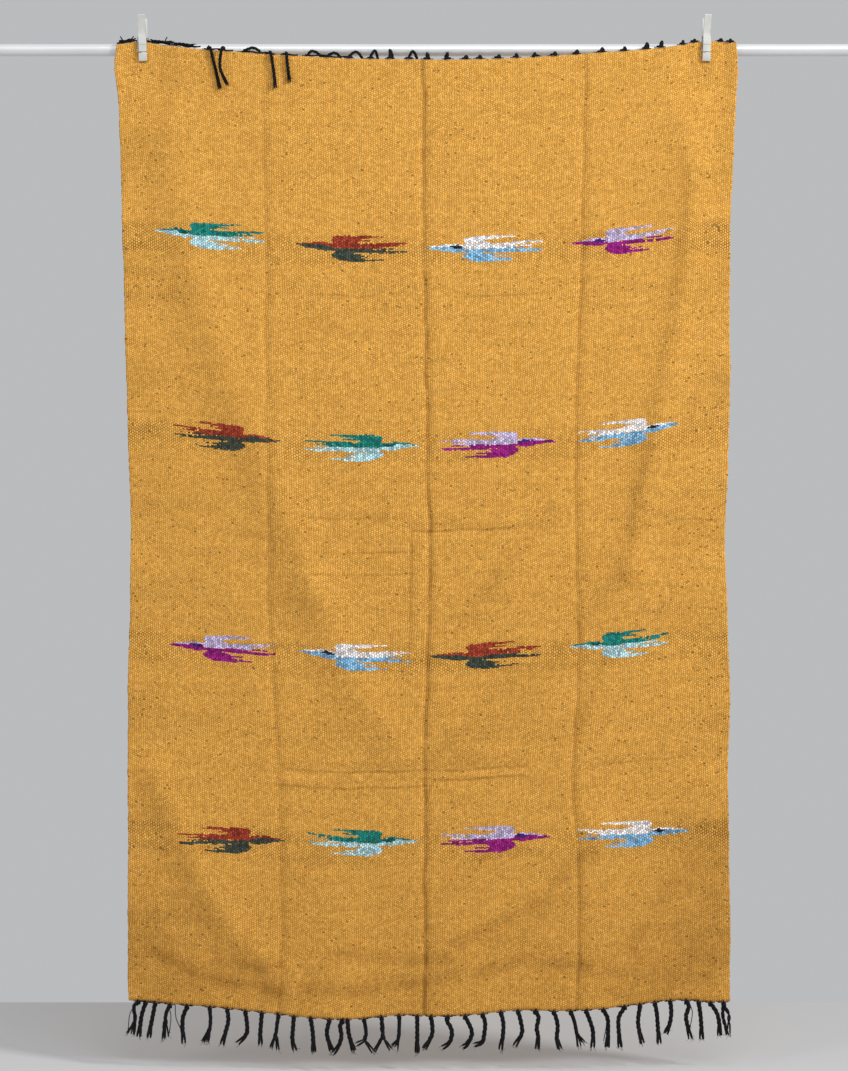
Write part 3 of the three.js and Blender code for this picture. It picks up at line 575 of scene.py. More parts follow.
def weave_material():
    net = Net("woven_cloth", 0.95, Sheen_Weight=0.03, Sheen_Roughness=0.6, Specular_IOR_Level=0.08)
    s, t, picks = net.attribute("weave")
    # Warps and picks don't run quite straight
    picks = picks + net.cloud("pick_drift", s, t) * PICK_DRIFT
    row_shift = net.chance(net.math("FLOOR", picks), SHIFT_SEED) - 0.5
    lane = s + net.cloud("warp_drift", s, t) * WARP_DRIFT + row_shift * ROW_SHIFT
    warp = net.math("FLOOR", lane / WARP_PITCH)
    beat = picks * 0.5 + net.math("MODULO", warp, 2.0) * 0.5
    pick = net.math("FLOOR", beat)
    dice = [net.chance(warp, pick, seed) for seed in BEAD_SEEDS]
    # Domed beads, each one a float of the weft over a warp
    rib, knob = (net.math("SINE", net.math("FRACT", place) * math.pi) for place in (lane / WARP_PITCH, beat))
    dome = net.math("POWER", net.math("MAXIMUM", rib * knob, 0.0), 0.6)
    loose, shown, margin, patch = looseness(net, s, t)
    motif, yarn_colour = bird_yarn(net, s, t, picks, dice)
    ground = 1.0 - motif
    # Ground yarn: uneven picks, ribs along the warp and soft cloudiness
    line = net.smooth(net.cloud("dark_line", s, t), 0.75, 1.3)
    ribs = net.noise(warp * RIB_TONE[0], t * RIB_TONE[1], RIB_TONE[2])
    tone = (net.cloud("pick_tone", s, t) * PICK_TONE + ribs * WARP_TONE
            + (dice[0] - 0.5) * (motif * BIRD_BEAD_TONE + BEAD_TONE)
            - line * LINE_TONE + motif * BIRD_TONE + MEAN_TONE)
    gold = net.mix(dice[1], linear(GOLD_DEEP), linear(GOLD_PALE))
    bead = net.scaled(net.mix(motif, gold, yarn_colour), tone)
    # Painted shade of the fold lines and hanging folds, with some rubbing, darkens the beads
    bead = net.mix(painted_shade_and_rubbing(net, s, t), bead, linear(SHADED_RUBBED_GOLD))
    # Between the beads lies shadow and, in looser places, the black warp
    rarity = FLECK_RARITY - shown * 0.05 - margin * 0.01 - net.smooth(patch, 0.2, 1.5) * 0.02
    fleck = (net.chance(warp, pick, FLECK_SEED) > rarity) * ground
    open_weave = loose * ground * (margin * 0.12 + 0.28) * net.smooth(patch, -1.6, 1.0)
    gap_dark = net.math("MINIMUM", open_weave + shown * 0.8 + motif * 0.4 + 0.05, 1.0)
    gap_colour = net.mix(gap_dark, net.scaled(bead, dice[2] * 0.34 + 0.2), linear(WARP_BLACK))
    cover = net.smooth(dome - open_weave * 0.22, 0.12, 0.67)
    shaded = net.mix(cover, gap_colour, bead)
    net.colour(net.mix(fleck * net.smooth(dome, 0.4, 0.85) * FLECK_DEPTH, shaded, linear(WARP_BLACK)))
    net.bump(dome, BEAD_RISE, BEAD_BUMP)
    return net.material


def yarn_material():
    net = Net("warp_yarn", 0.9, Sheen_Weight=0.06, Sheen_Roughness=0.5, Specular_IOR_Level=0.15)
    x, y, z = net.position()
    grain = net.noise(x * 900.0, y * 900.0, z * 500.0, 3.0)
    shade = net.noise(x * 60.0, y * 60.0, z * 40.0)
    net.colour(net.mix(net.smooth(grain + shade * 0.5, -1.0, 1.2), linear(0x08080A), linear(0x1C1C20)))
    net.bump(grain, 0.0004, 0.7)
    return net.material


def rod_material():
    net = Net("rod_metal", 0.36, Metallic=0.4)
    x, y, z = net.position()
    drawn = net.noise(x * 6.0, y * 1800.0, z * 1800.0)
    tone_drift = net.noise(x * 14.0, y * 40.0, z * 40.0)
    net.colour(net.mix(net.smooth(drawn * 0.6 + tone_drift * 0.4, -1.5, 1.5), linear(0xE6E8EA), linear(0xF2F3F4)))
    net.feed(net.shader.inputs["Roughness"], net.smooth(tone_drift, -2.0, 2.0) * 0.12 + 0.32)
    net.bump(drawn, 0.00002, 0.3)
    return net.material


def plastic_material():
    net = Net("peg_plastic", 0.42, Specular_IOR_Level=0.45)
    x, y, z = net.position()
    cloud = net.noise(x * 120.0, y * 120.0, z * 60.0)
    grain = net.noise(x * 2200.0, y * 2200.0, z * 2200.0)
    net.colour(net.mix(net.smooth(cloud, -1.5, 1.5), linear(0xC6C6C1), linear(0xD2D2CE)))
    net.feed(net.shader.inputs["Roughness"], net.smooth(cloud, -2.0, 2.0) * 0.15 + 0.36)
    net.bump(grain, 0.00003, 0.4)
    return net.material


def wire_material():
    net = Net("spring_wire", 0.3, Metallic=0.95)
    x, y, z = net.position()
    tarnish = net.noise(x * 300.0, y * 300.0, z * 300.0)
    net.colour(net.mix(net.smooth(tarnish, -1.5, 1.5), linear(0x8F9193), linear(0xB9BBBD)))
    net.feed(net.shader.inputs["Roughness"], net.smooth(tarnish, -2.0, 2.0) * 0.2 + 0.24)
    return net.material


def stage_material():
    net = Net("studio_paper", 0.9, Specular_IOR_Level=0.1)
    x, y, z = net.position()
    cloud = net.smooth(net.noise(x * 0.6, y * 0.6, z * 0.6), -2.0, 2.0)
    net.colour(net.mix(cloud, linear(0xD5D5D5), linear(0xD8D8D8)))
    return net.material


LOOKS = {"woven_cloth": weave_material(), "warp_yarn": yarn_material(), "rod_metal": rod_material(),
         "peg_plastic": plastic_material(), "spring_wire": wire_material()}


# Meshes

def make_mesh(name, points, faces, slot, sharp=None):
    mesh = bpy.data.meshes.new(name)
    mesh.from_pydata(np.asarray(points, float) * MM, [], faces)
    mesh.polygons.foreach_set("use_smooth", [True] * len(mesh.polygons))
    if sharp is not None:
        mesh.set_sharp_from_angle(angle=math.radians(sharp))
    mesh.materials.append(LOOKS[slot])
    piece = bpy.data.objects.new(name, mesh)
    bpy.context.scene.collection.objects.link(piece)
    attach(piece, "root")
    return piece


# The cloth's grid, ragged edges in mm, share of the thickness left at the edges
CLOTH_COLUMNS, CLOTH_ROWS, CREASE_CROWDING = 176, 260, 0.6
RAGGED, EDGE_SHARE = 0.9, 0.5
PICK_COUNTS = 4000
# A face takes part in a bird when it is this near: mm above or below, and share past its ends
BIRD_NEAR, BIRD_PAST = 62, 0.1


def make_cloth():
    even = np.linspace(0, 1, CLOTH_COLUMNS + 1)
    u = np.clip(even - CREASE_CROWDING * np.sin(8 * np.pi * even) / (8 * np.pi), 0, 1)
    v = np.linspace(0, 1, CLOTH_ROWS + 1)
    across, down = np.meshgrid(u, v)
    middle = cloth_at(across, down)
    # Selvedges and ends are slightly ragged
    for side in (0, -1):
        middle[1:-1, side, 0] += rng.uniform(-RAGGED, RAGGED, CLOTH_ROWS - 1)
    half = np.full(across.shape, CLOTH_THICK / 2)
    half[[0, -1], :] *= EDGE_SHARE
    half[:, [0, -1]] *= EDGE_SHARE
    lift = np.zeros(middle.shape)
    lift[..., 1] = half
    points = np.concatenate([(middle - lift).reshape(-1, 3), (middle + lift).reshape(-1, 3)])
    wide, count = CLOTH_COLUMNS + 1, across.size
    r, c = np.meshgrid(np.arange(CLOTH_ROWS), np.arange(CLOTH_COLUMNS), indexing="ij")
    a = (r * wide + c).ravel()
    front = np.stack([a, a + wide, a + wide + 1, a + 1], 1)
    back = front[:, ::-1] + count
    top, right = np.arange(wide - 1), np.arange(CLOTH_ROWS) * wide + wide - 1
    bottom, left = CLOTH_ROWS * wide + np.arange(wide - 1, 0, -1), np.arange(CLOTH_ROWS, 0, -1) * wide
    ring = np.concatenate([top, right, bottom, left])
    after = np.roll(ring, -1)
    rim = np.stack([ring, after, after + count, ring + count], 1)
    faces = np.concatenate([front, back, rim])
    piece = make_mesh("blanket_cloth", points, faces.tolist(), "woven_cloth")
    # Places in the weave: mm across, mm down, and picks counted from the top
    depth = np.linspace(0, CLOTH_LONG, PICK_COUNTS)
    pitch = np.full(depth.shape, GROUND_PICK)
    for row in ROW_PLACES:
        away = np.abs(depth - row)
        in_row = 1 - smoothstep(away, ROW_HALF - ROW_EASE_IN, ROW_HALF + ROW_EASE_OUT)
        pitch += (ROW_PICK - GROUND_PICK) * in_row
    counted = np.concatenate([[0], np.cumsum(np.diff(depth) / pitch[1:])])
    s, t = (across * CLOTH_WIDE).ravel(), (down * CLOTH_LONG).ravel()
    weave = np.tile(np.stack([s, t, np.interp(t, depth, counted)], 1), (2, 1))
    mesh = piece.data
    mesh.attributes.new("weave", "FLOAT_VECTOR", "POINT").data.foreach_set("vector", weave.ravel())
    # Painted shade along the hanging folds and towards the foot, read by the cloth's colour
    shade = np.zeros((2, count, 3))
    shade[..., 0] = tone_drift(middle[..., 0], middle[..., 2]).ravel()
    mesh.attributes.new("tone_drift", "FLOAT_VECTOR", "POINT").data.foreach_set("vector", shade.ravel())
    # Each face near a bird knows its places in that bird: along from the beak, above it, and which kind
    corner = weave[faces.ravel(), :2].reshape(-1, 4, 2)
    centre = corner.mean(1)
    local = np.zeros((len(faces), 4, 3))
    for kind, beak_s, beak_t, long, fall in BIRDS:
        facing = 1 if long > 0 else -1
        near = np.abs(centre[:, 1] - beak_t) < BIRD_NEAR
        share = (centre[:, 0] - beak_s) / long
        near &= (share > -BIRD_PAST) & (share < 1 + BIRD_PAST)
        place = (corner[near, :, 0] - beak_s) / long
        local[near, :, 0] = place * BIRD_LONG
        local[near, :, 1] = beak_t + fall * place - corner[near, :, 1]
        local[near, :, 2] = facing * (KINDS.index(kind) + 1)
    mesh.attributes.new("bird", "FLOAT_VECTOR", "CORNER").data.foreach_set("vector", local.ravel())
    return piece


def smooth_path(points, steps):
    """Points spaced along a smooth curve through a few given ones."""
    points = np.asarray(points, float)
    far = np.concatenate([[0], np.cumsum(np.linalg.norm(np.diff(points, axis=0), axis=1))])
    table = np.column_stack([far, points])
    place = np.linspace(0, far[-1], steps + 1)
    return np.stack([read(table, k, place) for k in (1, 2, 3)], 1)


def carried_frame(path):
    """Two directions square to the path, carried along it without twist."""
    tangent = np.gradient(path, axis=0)
    tangent /= np.linalg.norm(tangent, axis=1)[:, None]
    side = np.empty_like(path)
    start = np.cross(tangent[0], (0.0, 1.0, 0.0))
    if np.linalg.norm(start) < 0.2:
        start = np.cross(tangent[0], (1.0, 0.0, 0.0))
    side[0] = start / np.linalg.norm(start)
    for i in range(1, len(path)):
        turned = side[i - 1] - tangent[i] * side[i - 1].dot(tangent[i])
        side[i] = turned / np.linalg.norm(turned)
    return side, np.cross(tangent, side)


class Yarns:
    """Tubes gathered into one mesh."""
    # Strands lie this far out by their radius, twist up to one share of the lock and open from another
    SNUG, TWIST_TO, OPEN_FROM = 1.08, 0.74, 0.72
    # Unevenness of a strand, length of its lumps, where it thins and by how much
    UNEVEN, LUMP, THIN_FROM, THIN_BY = 0.06, 3.1, 0.9, 0.35
    # Hairs: where they leave the strand, length in mm, how far they stray and bend, thickness
    HAIR_FROM, HAIR_TO, HAIR_SHORT, HAIR_LONG = 0.8, 0.98, 2.5, 7
    HAIR_STRAY, HAIR_BEND, HAIR_FLAT = 0.42, 0.3, (1, 0.7, 1)
    HAIR_THICK, HAIR_STEPS = (0.5, 0.25), 4
    KNOT_STEPS, KNOT_DEPTH = 26, 0.85

    def __init__(self):
        self.points, self.faces, self.count = [], [], 0

    def tube(self, path, radius, sides=6):
        side, other = carried_frame(path)
        turn = np.arange(sides) * 2 * np.pi / sides
        radius = np.broadcast_to(radius, len(path))[:, None, None]
        ring = np.cos(turn)[None, :, None] * side[:, None] + np.sin(turn)[None, :, None] * other[:, None]
        self.points.append((path[:, None] + radius * ring).reshape(-1, 3))
        start, last = self.count, self.count + (len(path) - 1) * sides
        for i in range(len(path) - 1):
            for k in range(sides):
                a, b = start + i * sides + k, start + i * sides + (k + 1) % sides
                self.faces.append((a, b, b + sides, a + sides))
        self.faces.append(tuple(range(start + sides - 1, start - 1, -1)))
        self.faces.append(tuple(range(last, last + sides)))
        self.count += len(path) * sides

    def lock(self, routes, steps, thick, plies=3, lay=30.0, fray=7, opening=0.7):
        """Plied strands along one route, or shared out between the routes of a forked lock."""
        spin = rng.uniform(0, 2 * np.pi)
        for k in range(plies):
            path = smooth_path(routes[k % len(routes)], steps)
            far = np.concatenate([[0], np.cumsum(np.linalg.norm(np.diff(path, axis=0), axis=1))])
            share = far / far[-1]
            side, other = carried_frame(path)
            turn = spin + 2 * np.pi * (k / plies + np.minimum(far, self.TWIST_TO * far[-1]) / lay)
            off = thick * (self.SNUG + opening * smoothstep(share, self.OPEN_FROM, 1))[:, None]
            strand = path + off * (np.cos(turn)[:, None] * side + np.sin(turn)[:, None] * other)
            lumps = 1 + self.UNEVEN * np.sin(far / self.LUMP + k)
            self.tube(strand, thick * lumps * (1 - self.THIN_BY * smoothstep(share, self.THIN_FROM, 1)))
            self.fray(strand, share, fray)

    def fray(self, strand, share, count):
        """Fine hairs that leave a strand near its tip."""
        for _ in range(count):
            i = int(np.searchsorted(share, rng.uniform(self.HAIR_FROM, self.HAIR_TO)))
            ahead = strand[-1] - strand[-3]
            ahead = ahead / np.linalg.norm(ahead)
            drift = rng.normal(0, self.HAIR_STRAY, 3) * self.HAIR_FLAT
            long = rng.uniform(self.HAIR_SHORT, self.HAIR_LONG)
            bend = rng.normal(0, self.HAIR_BEND, 3)
            start = strand[min(i, len(strand) - 1)]
            hair = [start, start + long * 0.5 * (ahead + drift), start + long * (ahead + drift + bend)]
            size = np.linspace(*self.HAIR_THICK, self.HAIR_STEPS + 1)
            self.tube(smooth_path(hair, self.HAIR_STEPS), size, 3)

    def knot(self, at, size=3.3, thick=1.8, turns=1.8, tall=5.0, tilt=0.25, wide=1.0):
        turn = np.linspace(0, 2 * np.pi * turns, self.KNOT_STEPS) + rng.uniform(0, 6)
        drop = np.linspace(tall / 2, -tall / 2, self.KNOT_STEPS)
        across, out = size * np.cos(turn), size * np.sin(turn)
        path = np.stack([wide * across, self.KNOT_DEPTH * out, drop + tilt * out], 1)
        self.tube(np.asarray(at) + path, thick)

    def piece(self, name, node):
        made = make_mesh(name, np.concatenate(self.points), self.faces, "warp_yarn")
        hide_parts(node)
        return made


# Bottom locks: root, how far the tip stands forward, then points of sideways shift and drop.
# A fork is a second way from the last point but one.
BELOW = [
    (-593, 0, [(-9, 11), (-7, 40), (-12, 69)], [(-22, 67)]), (-578, 4, [(-8, 29), (-13, 72)], []),
    (-558, 0, [(-4, 23), (-14, 72)], []), (-527, 3, [(-8, 21), (-14, 71)], [(-6, 67)]),
    (-491, 0, [(-9, 28), (-8, 78)], []), (-444, 2, [(1, 38), (-13, 72)], [(-5, 72)]),
    (-408, 0, [(2, 26), (-4, 50), (-10, 74)], []), (-371, 3, [(4, 34), (2, 49), (-16, 66)], []),
    (-337, 0, [(-3, 39), (-4, 66)], []), (-303, 2, [(-4, 32), (-14, 69)], [(-2, 73)]),
    (-271, 0, [(-2, 29), (-3, 47), (3, 70)], []), (-236, 3, [(4, 30), (6, 69)], []),
    (-198, -3, [(-5, 30), (5, 65)], []), (-171, 7, [(-5, 13), (-2, 33), (-7, 52), (-18, 69)], []),
    (-161, 0, [(3, 30), (13, 64)], []), (-127, 4, [(4, 26), (2, 42), (-14, 52)], [(19, 69)]),
    (-91, 0, [(2, 37), (-15, 70)], [(19, 67)]), (-55, -4, [(0, 25), (-2, 50), (-12, 64)], [(-4, 70)]),
    (-18, 2, [(0, 41), (0, 76)], []), (10, 0, [(3, 21), (2, 39), (-14, 67)], []),
    (45, 4, [(-3, 8), (6, 24), (8, 38), (2, 55), (-11, 65)], []),
    (80, 0, [(14, 36), (4, 60), (-4, 66)], []),
    (116, 3, [(5, 18), (3, 43), (-1, 58), (-16, 64)], []), (154, 0, [(5, 29), (0, 78)], []),
    (189, 3, [(6, 25), (8, 45), (-6, 73)], []), (224, 0, [(7, 13), (3, 37), (6, 53), (5, 79)], []),
    (262, 2, [(6, 19), (8, 35), (6, 55), (12, 78)], []),
    (297, 0, [(8, 26), (12, 47), (17, 73)], [(26, 65)]), (328, 3, [(9, 26), (14, 46), (12, 76)], []),
    (363, 0, [(9, 20), (10, 48), (8, 79)], []), (408, 2, [(-12, 22), (-13, 44), (-9, 84)], []),
    (440, 0, [(-4, 39), (4, 81)], []), (471, 2, [(4, 25), (8, 85)], []),
    (503, 0, [(2, 24), (-1, 46), (-10, 68)], []), (536, 3, [(5, 12), (-1, 35), (9, 78)], []),
    (561, 0, [(4, 31), (7, 78)], []), (585, 3, [(13, 22), (18, 43), (19, 68)], []),
    (612, 0, [(-1, 30), (9, 68)], [(11, 30), (10, 67)]),
]
# Single loose yarns beside the bottom locks: root, then points of sideways shift and drop
LOOSE_BELOW = [(-516, [(2, 28), (12, 52)]), (-531, [(6, 24), (3, 60)]), (366, [(4, 26), (-2, 66)]),
               (540, [(8, 24), (3, 58)]), (-594, [(-16, 26), (-20, 60)])]


PLAIN_LOCK, FORKED_LOCK, BELOW_STEPS = {"thick": 2.45, "plies": 3}, {"thick": 2.05, "plies": 5}, 18
# A lock stands fully forward at this drop
FORWARD_AT = 70
# Ends of the bottom and the top edge that yarns keep within
BELOW_ENDS, ABOVE_ENDS = (-611, 622), (-633, 635)
# Warp ends drawn along an edge into a knot: reach to each side, thickness; then how many, and their stray
DRAWN_BELOW, DRAWN_ABOVE, DRAWN_COUNT, DRAWN_STRAY = (10, 0.9), (12, 0.85), 7, 1.5
# Short floats of warp beside a knot: nearest, farthest, share of sides that have one, shortest, thickness
FLOAT_NEAR, FLOAT_FAR, FLOAT_SHARE, FLOAT_LEAST, FLOAT_THICK = (5, 9), (11, 17), 0.6, 2, 0.85
BITE_THICK, BITE_SHIFT, LOOSE_THICK = 1.45, 4, 0.95


def within(x, ends):
    return min(max(x, ends[0]), ends[1])


def drawn_in(side):
    """Places along the edge from which warp ends run into a knot."""
    return np.linspace(-side, side, DRAWN_COUNT) + rng.uniform(-DRAWN_STRAY, DRAWN_STRAY, DRAWN_COUNT)


def make_fringe_below():
    yarns = Yarns()
    for root, out, line, fork in BELOW:
        edge = edge_at(root, 1)
        start = np.array([root, edge[1], edge[2] - GAP - STRIP_TALL / 2])

        def placed(shift, drop, out=out, edge=edge, root=root):
            return (root + shift, edge[1] - out * min(drop / FORWARD_AT, 1), edge[2] - drop)

        routes = [[start] + [placed(*p) for p in line]]
        if fork:
            kept = line[:-1] if len(fork) == 1 else []
            routes.append([start] + [placed(*p) for p in kept + fork])
        yarns.lock(routes, BELOW_STEPS, **(FORKED_LOCK if fork else PLAIN_LOCK))
        yarns.knot(start - (0, 0, 3.0))
        # The knot bites over the cloth's edge, and short floats of warp show beside it
        shift = rng.uniform(-BITE_SHIFT, BITE_SHIFT)
        over = [start - (0, 3.0, 1.0), edge + (0, -2.9, 1.6), edge + (shift, -2.9, 2.6)]
        yarns.tube(smooth_path(over, 5), BITE_THICK)
        for turn in (-1, 1):
            near, far = rng.uniform(*FLOAT_NEAR), rng.uniform(*FLOAT_FAR)
            ends = [within(root + turn * reach, BELOW_ENDS) for reach in (near, far)]
            if rng.uniform() < FLOAT_SHARE and abs(ends[1] - ends[0]) > FLOAT_LEAST:
                path = np.linspace(edge_at(ends[0], 1), edge_at(ends[1], 1), 4) + (0, -2.2, 0.6)
                yarns.tube(path, FLOAT_THICK, 5)
        # Warp ends drawn along the edge into the knot
        side, thick = DRAWN_BELOW
        for reach in drawn_in(side):
            foot = edge_at(within(root + reach, BELOW_ENDS), 1) - (0, 0.4, GAP + 0.9)
            ease = (foot + start) / 2 + (0, 0, 0.6)
            yarns.tube(smooth_path([foot, ease, start], 4), thick, 5)
    for root, line in LOOSE_BELOW:
        edge = edge_at(root, 1)
        start = (root, edge[1], edge[2] - GAP - 0.9)
        path = smooth_path([start] + [(root + dx, edge[1] - 1, edge[2] - dz) for dx, dz in line], 14)
        yarns.tube(path, LOOSE_THICK, 5)
        yarns.fray(path, np.linspace(0, 1, len(path)), 3)
    return yarns.piece("fringe_below", "fringe_bottom")


# Top locks: root, way, rise and lean of the crown, where it lands, drop from the edge
ABOVE = [
    (-628, "over", 0, 3, 4, 62), (-612, "over", 0, 3, 5, 70), (-562, "laid", 6, 14, 40, 0),
    (-515, "laid", 6, 12, 40, 0), (-446, "forward", 6, 14, 24, 80), (-414, "forward", 6, -10, 8, 72),
    (-373, "tuck", 10, 18, 39, 74), (-320, "forward", 5, 8, 11, 70), (-287, "forward", 5, 4, 8, 56),
    (-242, "tuck", 12, 8, 33, 66), (-202, "tuck", 10, 14, 31, 78), (-158, "tuck", 14, 14, 31, 70),
    (-114, "tuck", 17, 9, 17, 64), (-74, "tuck", 19, 0, 8, 72), (-35, "tuck", 17, 8, 19, 76),
    (2, "tuck", 13, 0, 6, 66), (44, "tuck", 14, 0, -6, 70), (80, "tuck", 7, 3, 6, 75),
    (109, "tuck", 7, 2, 5, 68), (147, "tuck", 7, 3, 6, 72), (184, "tuck", 8, 2, 4, 63),
    (225, "tuck", 8, -2, -5, 77), (262, "tuck", 7, 3, 6, 70), (307, "tuck", 8, 3, 7, 66),
    (358, "tuck", 9, 4, 8, 74), (405, "tuck", 8, 3, 6, 68), (449, "tuck", 13, 5, 8, 70),
    (480, "tuck", 13, 4, 5, 64), (526, "over", 0, 4, 6, 60), (551, "over", 0, 2, 2, 72),
    (604, "over", 0, 4, 5, 66), (624, "over", 0, 3, 3, 58),
]


# A forward lock's distance from the cloth, and that of one that crosses before its neighbour
FORWARD_OFF, FORWARD_OUTER = 7, 14


def route_above(root, way, rise, lean, land, hang):
    """A lock's route from the top edge, as in the solid."""
    _, ey, ez = edge_at(root, 0)
    middle = ez + GAP + STRIP_TALL / 2
    points = [(root, ey, middle), (root, ey, middle + STRIP_TALL / 2)]
    if way == "tuck":
        def behind(x, z):
            return (x, cloth_beside(x, z) + TUCK_BEHIND, z)
        points += [(root + 0.5 * lean, ey - 1.2, ez + 0.72 * rise), (root + lean, ey + 2.2, ez + rise),
                   (root + 0.5 * (lean + land), ey + 6.4, ez + 0.62 * rise), behind(root + land, ez - 9),
                   behind(root + land + 2, ez - 0.5 * hang), behind(root + land - 2, ez - hang)]
    elif way == "over":
        reach = ROD_RADIUS + LOCK_THICK / 2 + LOCK_ROD_CLEARANCE

        def around(x, turn):
            return (x, -reach * math.cos(turn * math.pi), reach * math.sin(turn * math.pi))
        points += [(root + 0.4 * lean, ey + 0.8, max(ez + 6, 13)), around(root + 0.7 * lean, 0.39),
                   around(root + lean, 0.62), around(root + land, 0.86),
                   (root + land + 1, reach + 0.5, -12), (root + land - 1, reach - 0.5, ez - hang)]
    elif way == "laid":
        def lying(shift, out, lift):
            place = edge_at(root + shift, 0)
            return (root + shift, place[1] - out, place[2] + lift)
        points += [lying(0.2 * lean, 1, 0.8 * rise), lying(lean, 0.5, rise),
                   lying(0.6 * (lean + land), 0.5, rise), lying(land, 0.5, 1.2 * rise)]
    else:
        off = FORWARD_OUTER if lean < 0 else FORWARD_OFF

        def before(x, z):
            return (x, cloth_beside(x, z) - off, z)
        points += [(root, ey - 2, ez + rise), (root + 0.3 * lean, ey - off, ez + 0.5 * rise),
                   before(root + 0.7 * lean, ez - 0.25 * hang),
                   before(root + lean + 0.2 * (land - lean), ez - 0.55 * hang),
                   before(root + land, ez - hang)]
    return points


# Yarns that lie along the top edge between the locks: from, to, height above the edge, waves
EDGE_YARNS = [(-634, -588, 2.6, 2.5), (-630, -596, 6.0, 2.0), (-572, -470, 2.6, 3.0), (-566, -500, 5.6, 1.5),
              (-522, -462, 5.0, 2.0), (-455, -395, 2.2, 1.5), (-378, -310, 2.2, 2.0), (-296, -262, 2.2, 1.0),
              (-248, -196, 3.0, 1.0), (-214, -150, 2.4, 1.5)]
# Roots from here on stand apart, each with a low knob
KNOBS_FROM = -210
# Loose ends that stand up from the top edge: root, then shift and rise of the tip
EDGE_ENDS = [(-536, 5, 17), (-622, -6, 15), (-606, 6, 13)]
EDGE_THICK, END_THICK = 1.55, (1.5, 1.0)
ABOVE_LOCK, ABOVE_STEPS, ABOVE_THICK, FORWARD_THICK = {"lay": 24.0, "fray": 4, "opening": 0.5}, 34, 1.6, 1.75
KNOB, KNOB_WIDE = {"size": 3.0, "thick": 1.6, "turns": 1.6, "tall": 1.6, "tilt": 0.15}, (1.6, 2.4)


def make_fringe_above():
    yarns = Yarns()
    for start, end, lift, waves in EDGE_YARNS:
        xs = np.linspace(start, end, max(6, int((end - start) / 6)))
        turn = (xs - start) / (end - start) * waves * 2 * np.pi + rng.uniform(0, 6)
        path = []
        for x, angle in zip(xs, turn):
            wave = (0, -0.8 + 0.9 * math.cos(angle), GAP + lift + 1.1 * math.sin(angle))
            path.append(edge_at(x, 0) + wave)
        yarns.tube(smooth_path(path, 2 * len(xs)), EDGE_THICK)
    for root, shift, rise in EDGE_ENDS:
        foot = edge_at(root, 0)
        line = [foot + (0, 0, 2), foot + (0.3 * shift, -1, 0.6 * rise), foot + (shift, -1, rise)]
        yarns.tube(smooth_path(line, 8), np.linspace(*END_THICK, 9))
    for row in ABOVE:
        root, way = row[:2]
        points = route_above(*row)
        thick = FORWARD_THICK if way == "forward" else ABOVE_THICK
        yarns.lock([points], ABOVE_STEPS, thick, **ABOVE_LOCK)
        start = edge_at(root, 0) + (0, 0, GAP + 1.2)
        if root > KNOBS_FROM:
            yarns.knot(start + (0, -0.5, 1.2), wide=rng.uniform(*KNOB_WIDE), **KNOB)
        side, thick = DRAWN_ABOVE
        for reach in drawn_in(side):
            foot = edge_at(within(root + reach, ABOVE_ENDS), 0) + (0, 0, GAP + 1.0)
            yarns.tube(smooth_path([foot, (foot + start) / 2, start], 4), thick, 5)
    return yarns.piece("fringe_above", "fringe_top")


ROD_SIDES, ROD_CHAMFER, ROD_JOINT = 64, 1.2, 4.0
# Seam where two lengths meet: distance from the joint, depth
SEAM = [(0.5, 0), (0.2, 0.4), (-0.2, 0.4), (-0.5, 0)]


def make_rod():
    """The tube: chamfered ends with an inset cap, and a fine seam where two lengths meet."""
    half, r = ROD_LENGTH / 2, ROD_RADIUS
    end = [(half - 3, 0), (half - 3, r - 3), (half - 2.4, r - 2.2), (half - 0.4, r - 1.8),
           (half, r - ROD_CHAMFER), (half - ROD_CHAMFER, r)]
    seam = [(ROD_JOINT + away, r - deep) for away, deep in SEAM]
    middle = [(x, r) for x in (700, 480, 260, 120, 40)]
    profile = end + middle + seam + [(-x, r) for x, r in middle[::-1]] + [(-x, r) for x, r in end[::-1]]
    turn = np.arange(ROD_SIDES) * 2 * np.pi / ROD_SIDES
    points, faces = [(profile[0][0], 0, 0)], []
    for x, radius in profile[1:-1]:
        points += [(x, radius * math.cos(a), radius * math.sin(a)) for a in turn]
    points.append((profile[-1][0], 0, 0))
    rings = len(profile) - 2
    for k in range(ROD_SIDES):
        n = (k + 1) % ROD_SIDES
        faces.append((0, 1 + k, 1 + n))
        for i in range(rings - 1):
            a, b = 1 + i * ROD_SIDES, 1 + (i + 1) * ROD_SIDES
            faces.append((a + k, b + k, b + n, a + n))
        last = 1 + (rings - 1) * ROD_SIDES
        faces.append((last + k, len(points) - 1, last + n))
    piece = make_mesh("rod_tube", points, faces, "rod_metal", sharp=38)
    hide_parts("rod")
    return piece


# One lever's side profile: distance from the peg's middle plane, and height
LEVER = [(15.3, PEG_TIP), (15.3, 19.5), (5.7, 24.5), (5.7, 31.5), (21, PEG_TOP), (25.5, PEG_TOP),
         (27, PEG_TOP - 2), (17.8, 33), (17.8, 27), (22.3, 16), (22.3, 8), (21.3, 7), (22.3, 6),
         (22.3, -6.6), (20.5, -6.8), (20.5, -9.2), (22.3, -9.4), (22.3, -22), (20.5, PEG_TIP)]
LEVER_BEVEL = 0.7


def leaned(points, x):
    """Points of a peg about its own middle, leaned outward and moved to its place."""
    points = np.asarray(points, float)
    turn = math.copysign(PEG_LEAN, x)
    across = points[:, 0] * math.cos(turn) + points[:, 2] * math.sin(turn)
    up = points[:, 2] * math.cos(turn) - points[:, 0] * math.sin(turn)
    return np.stack([across + x, points[:, 1] + PEG_MID_Y, up], 1)


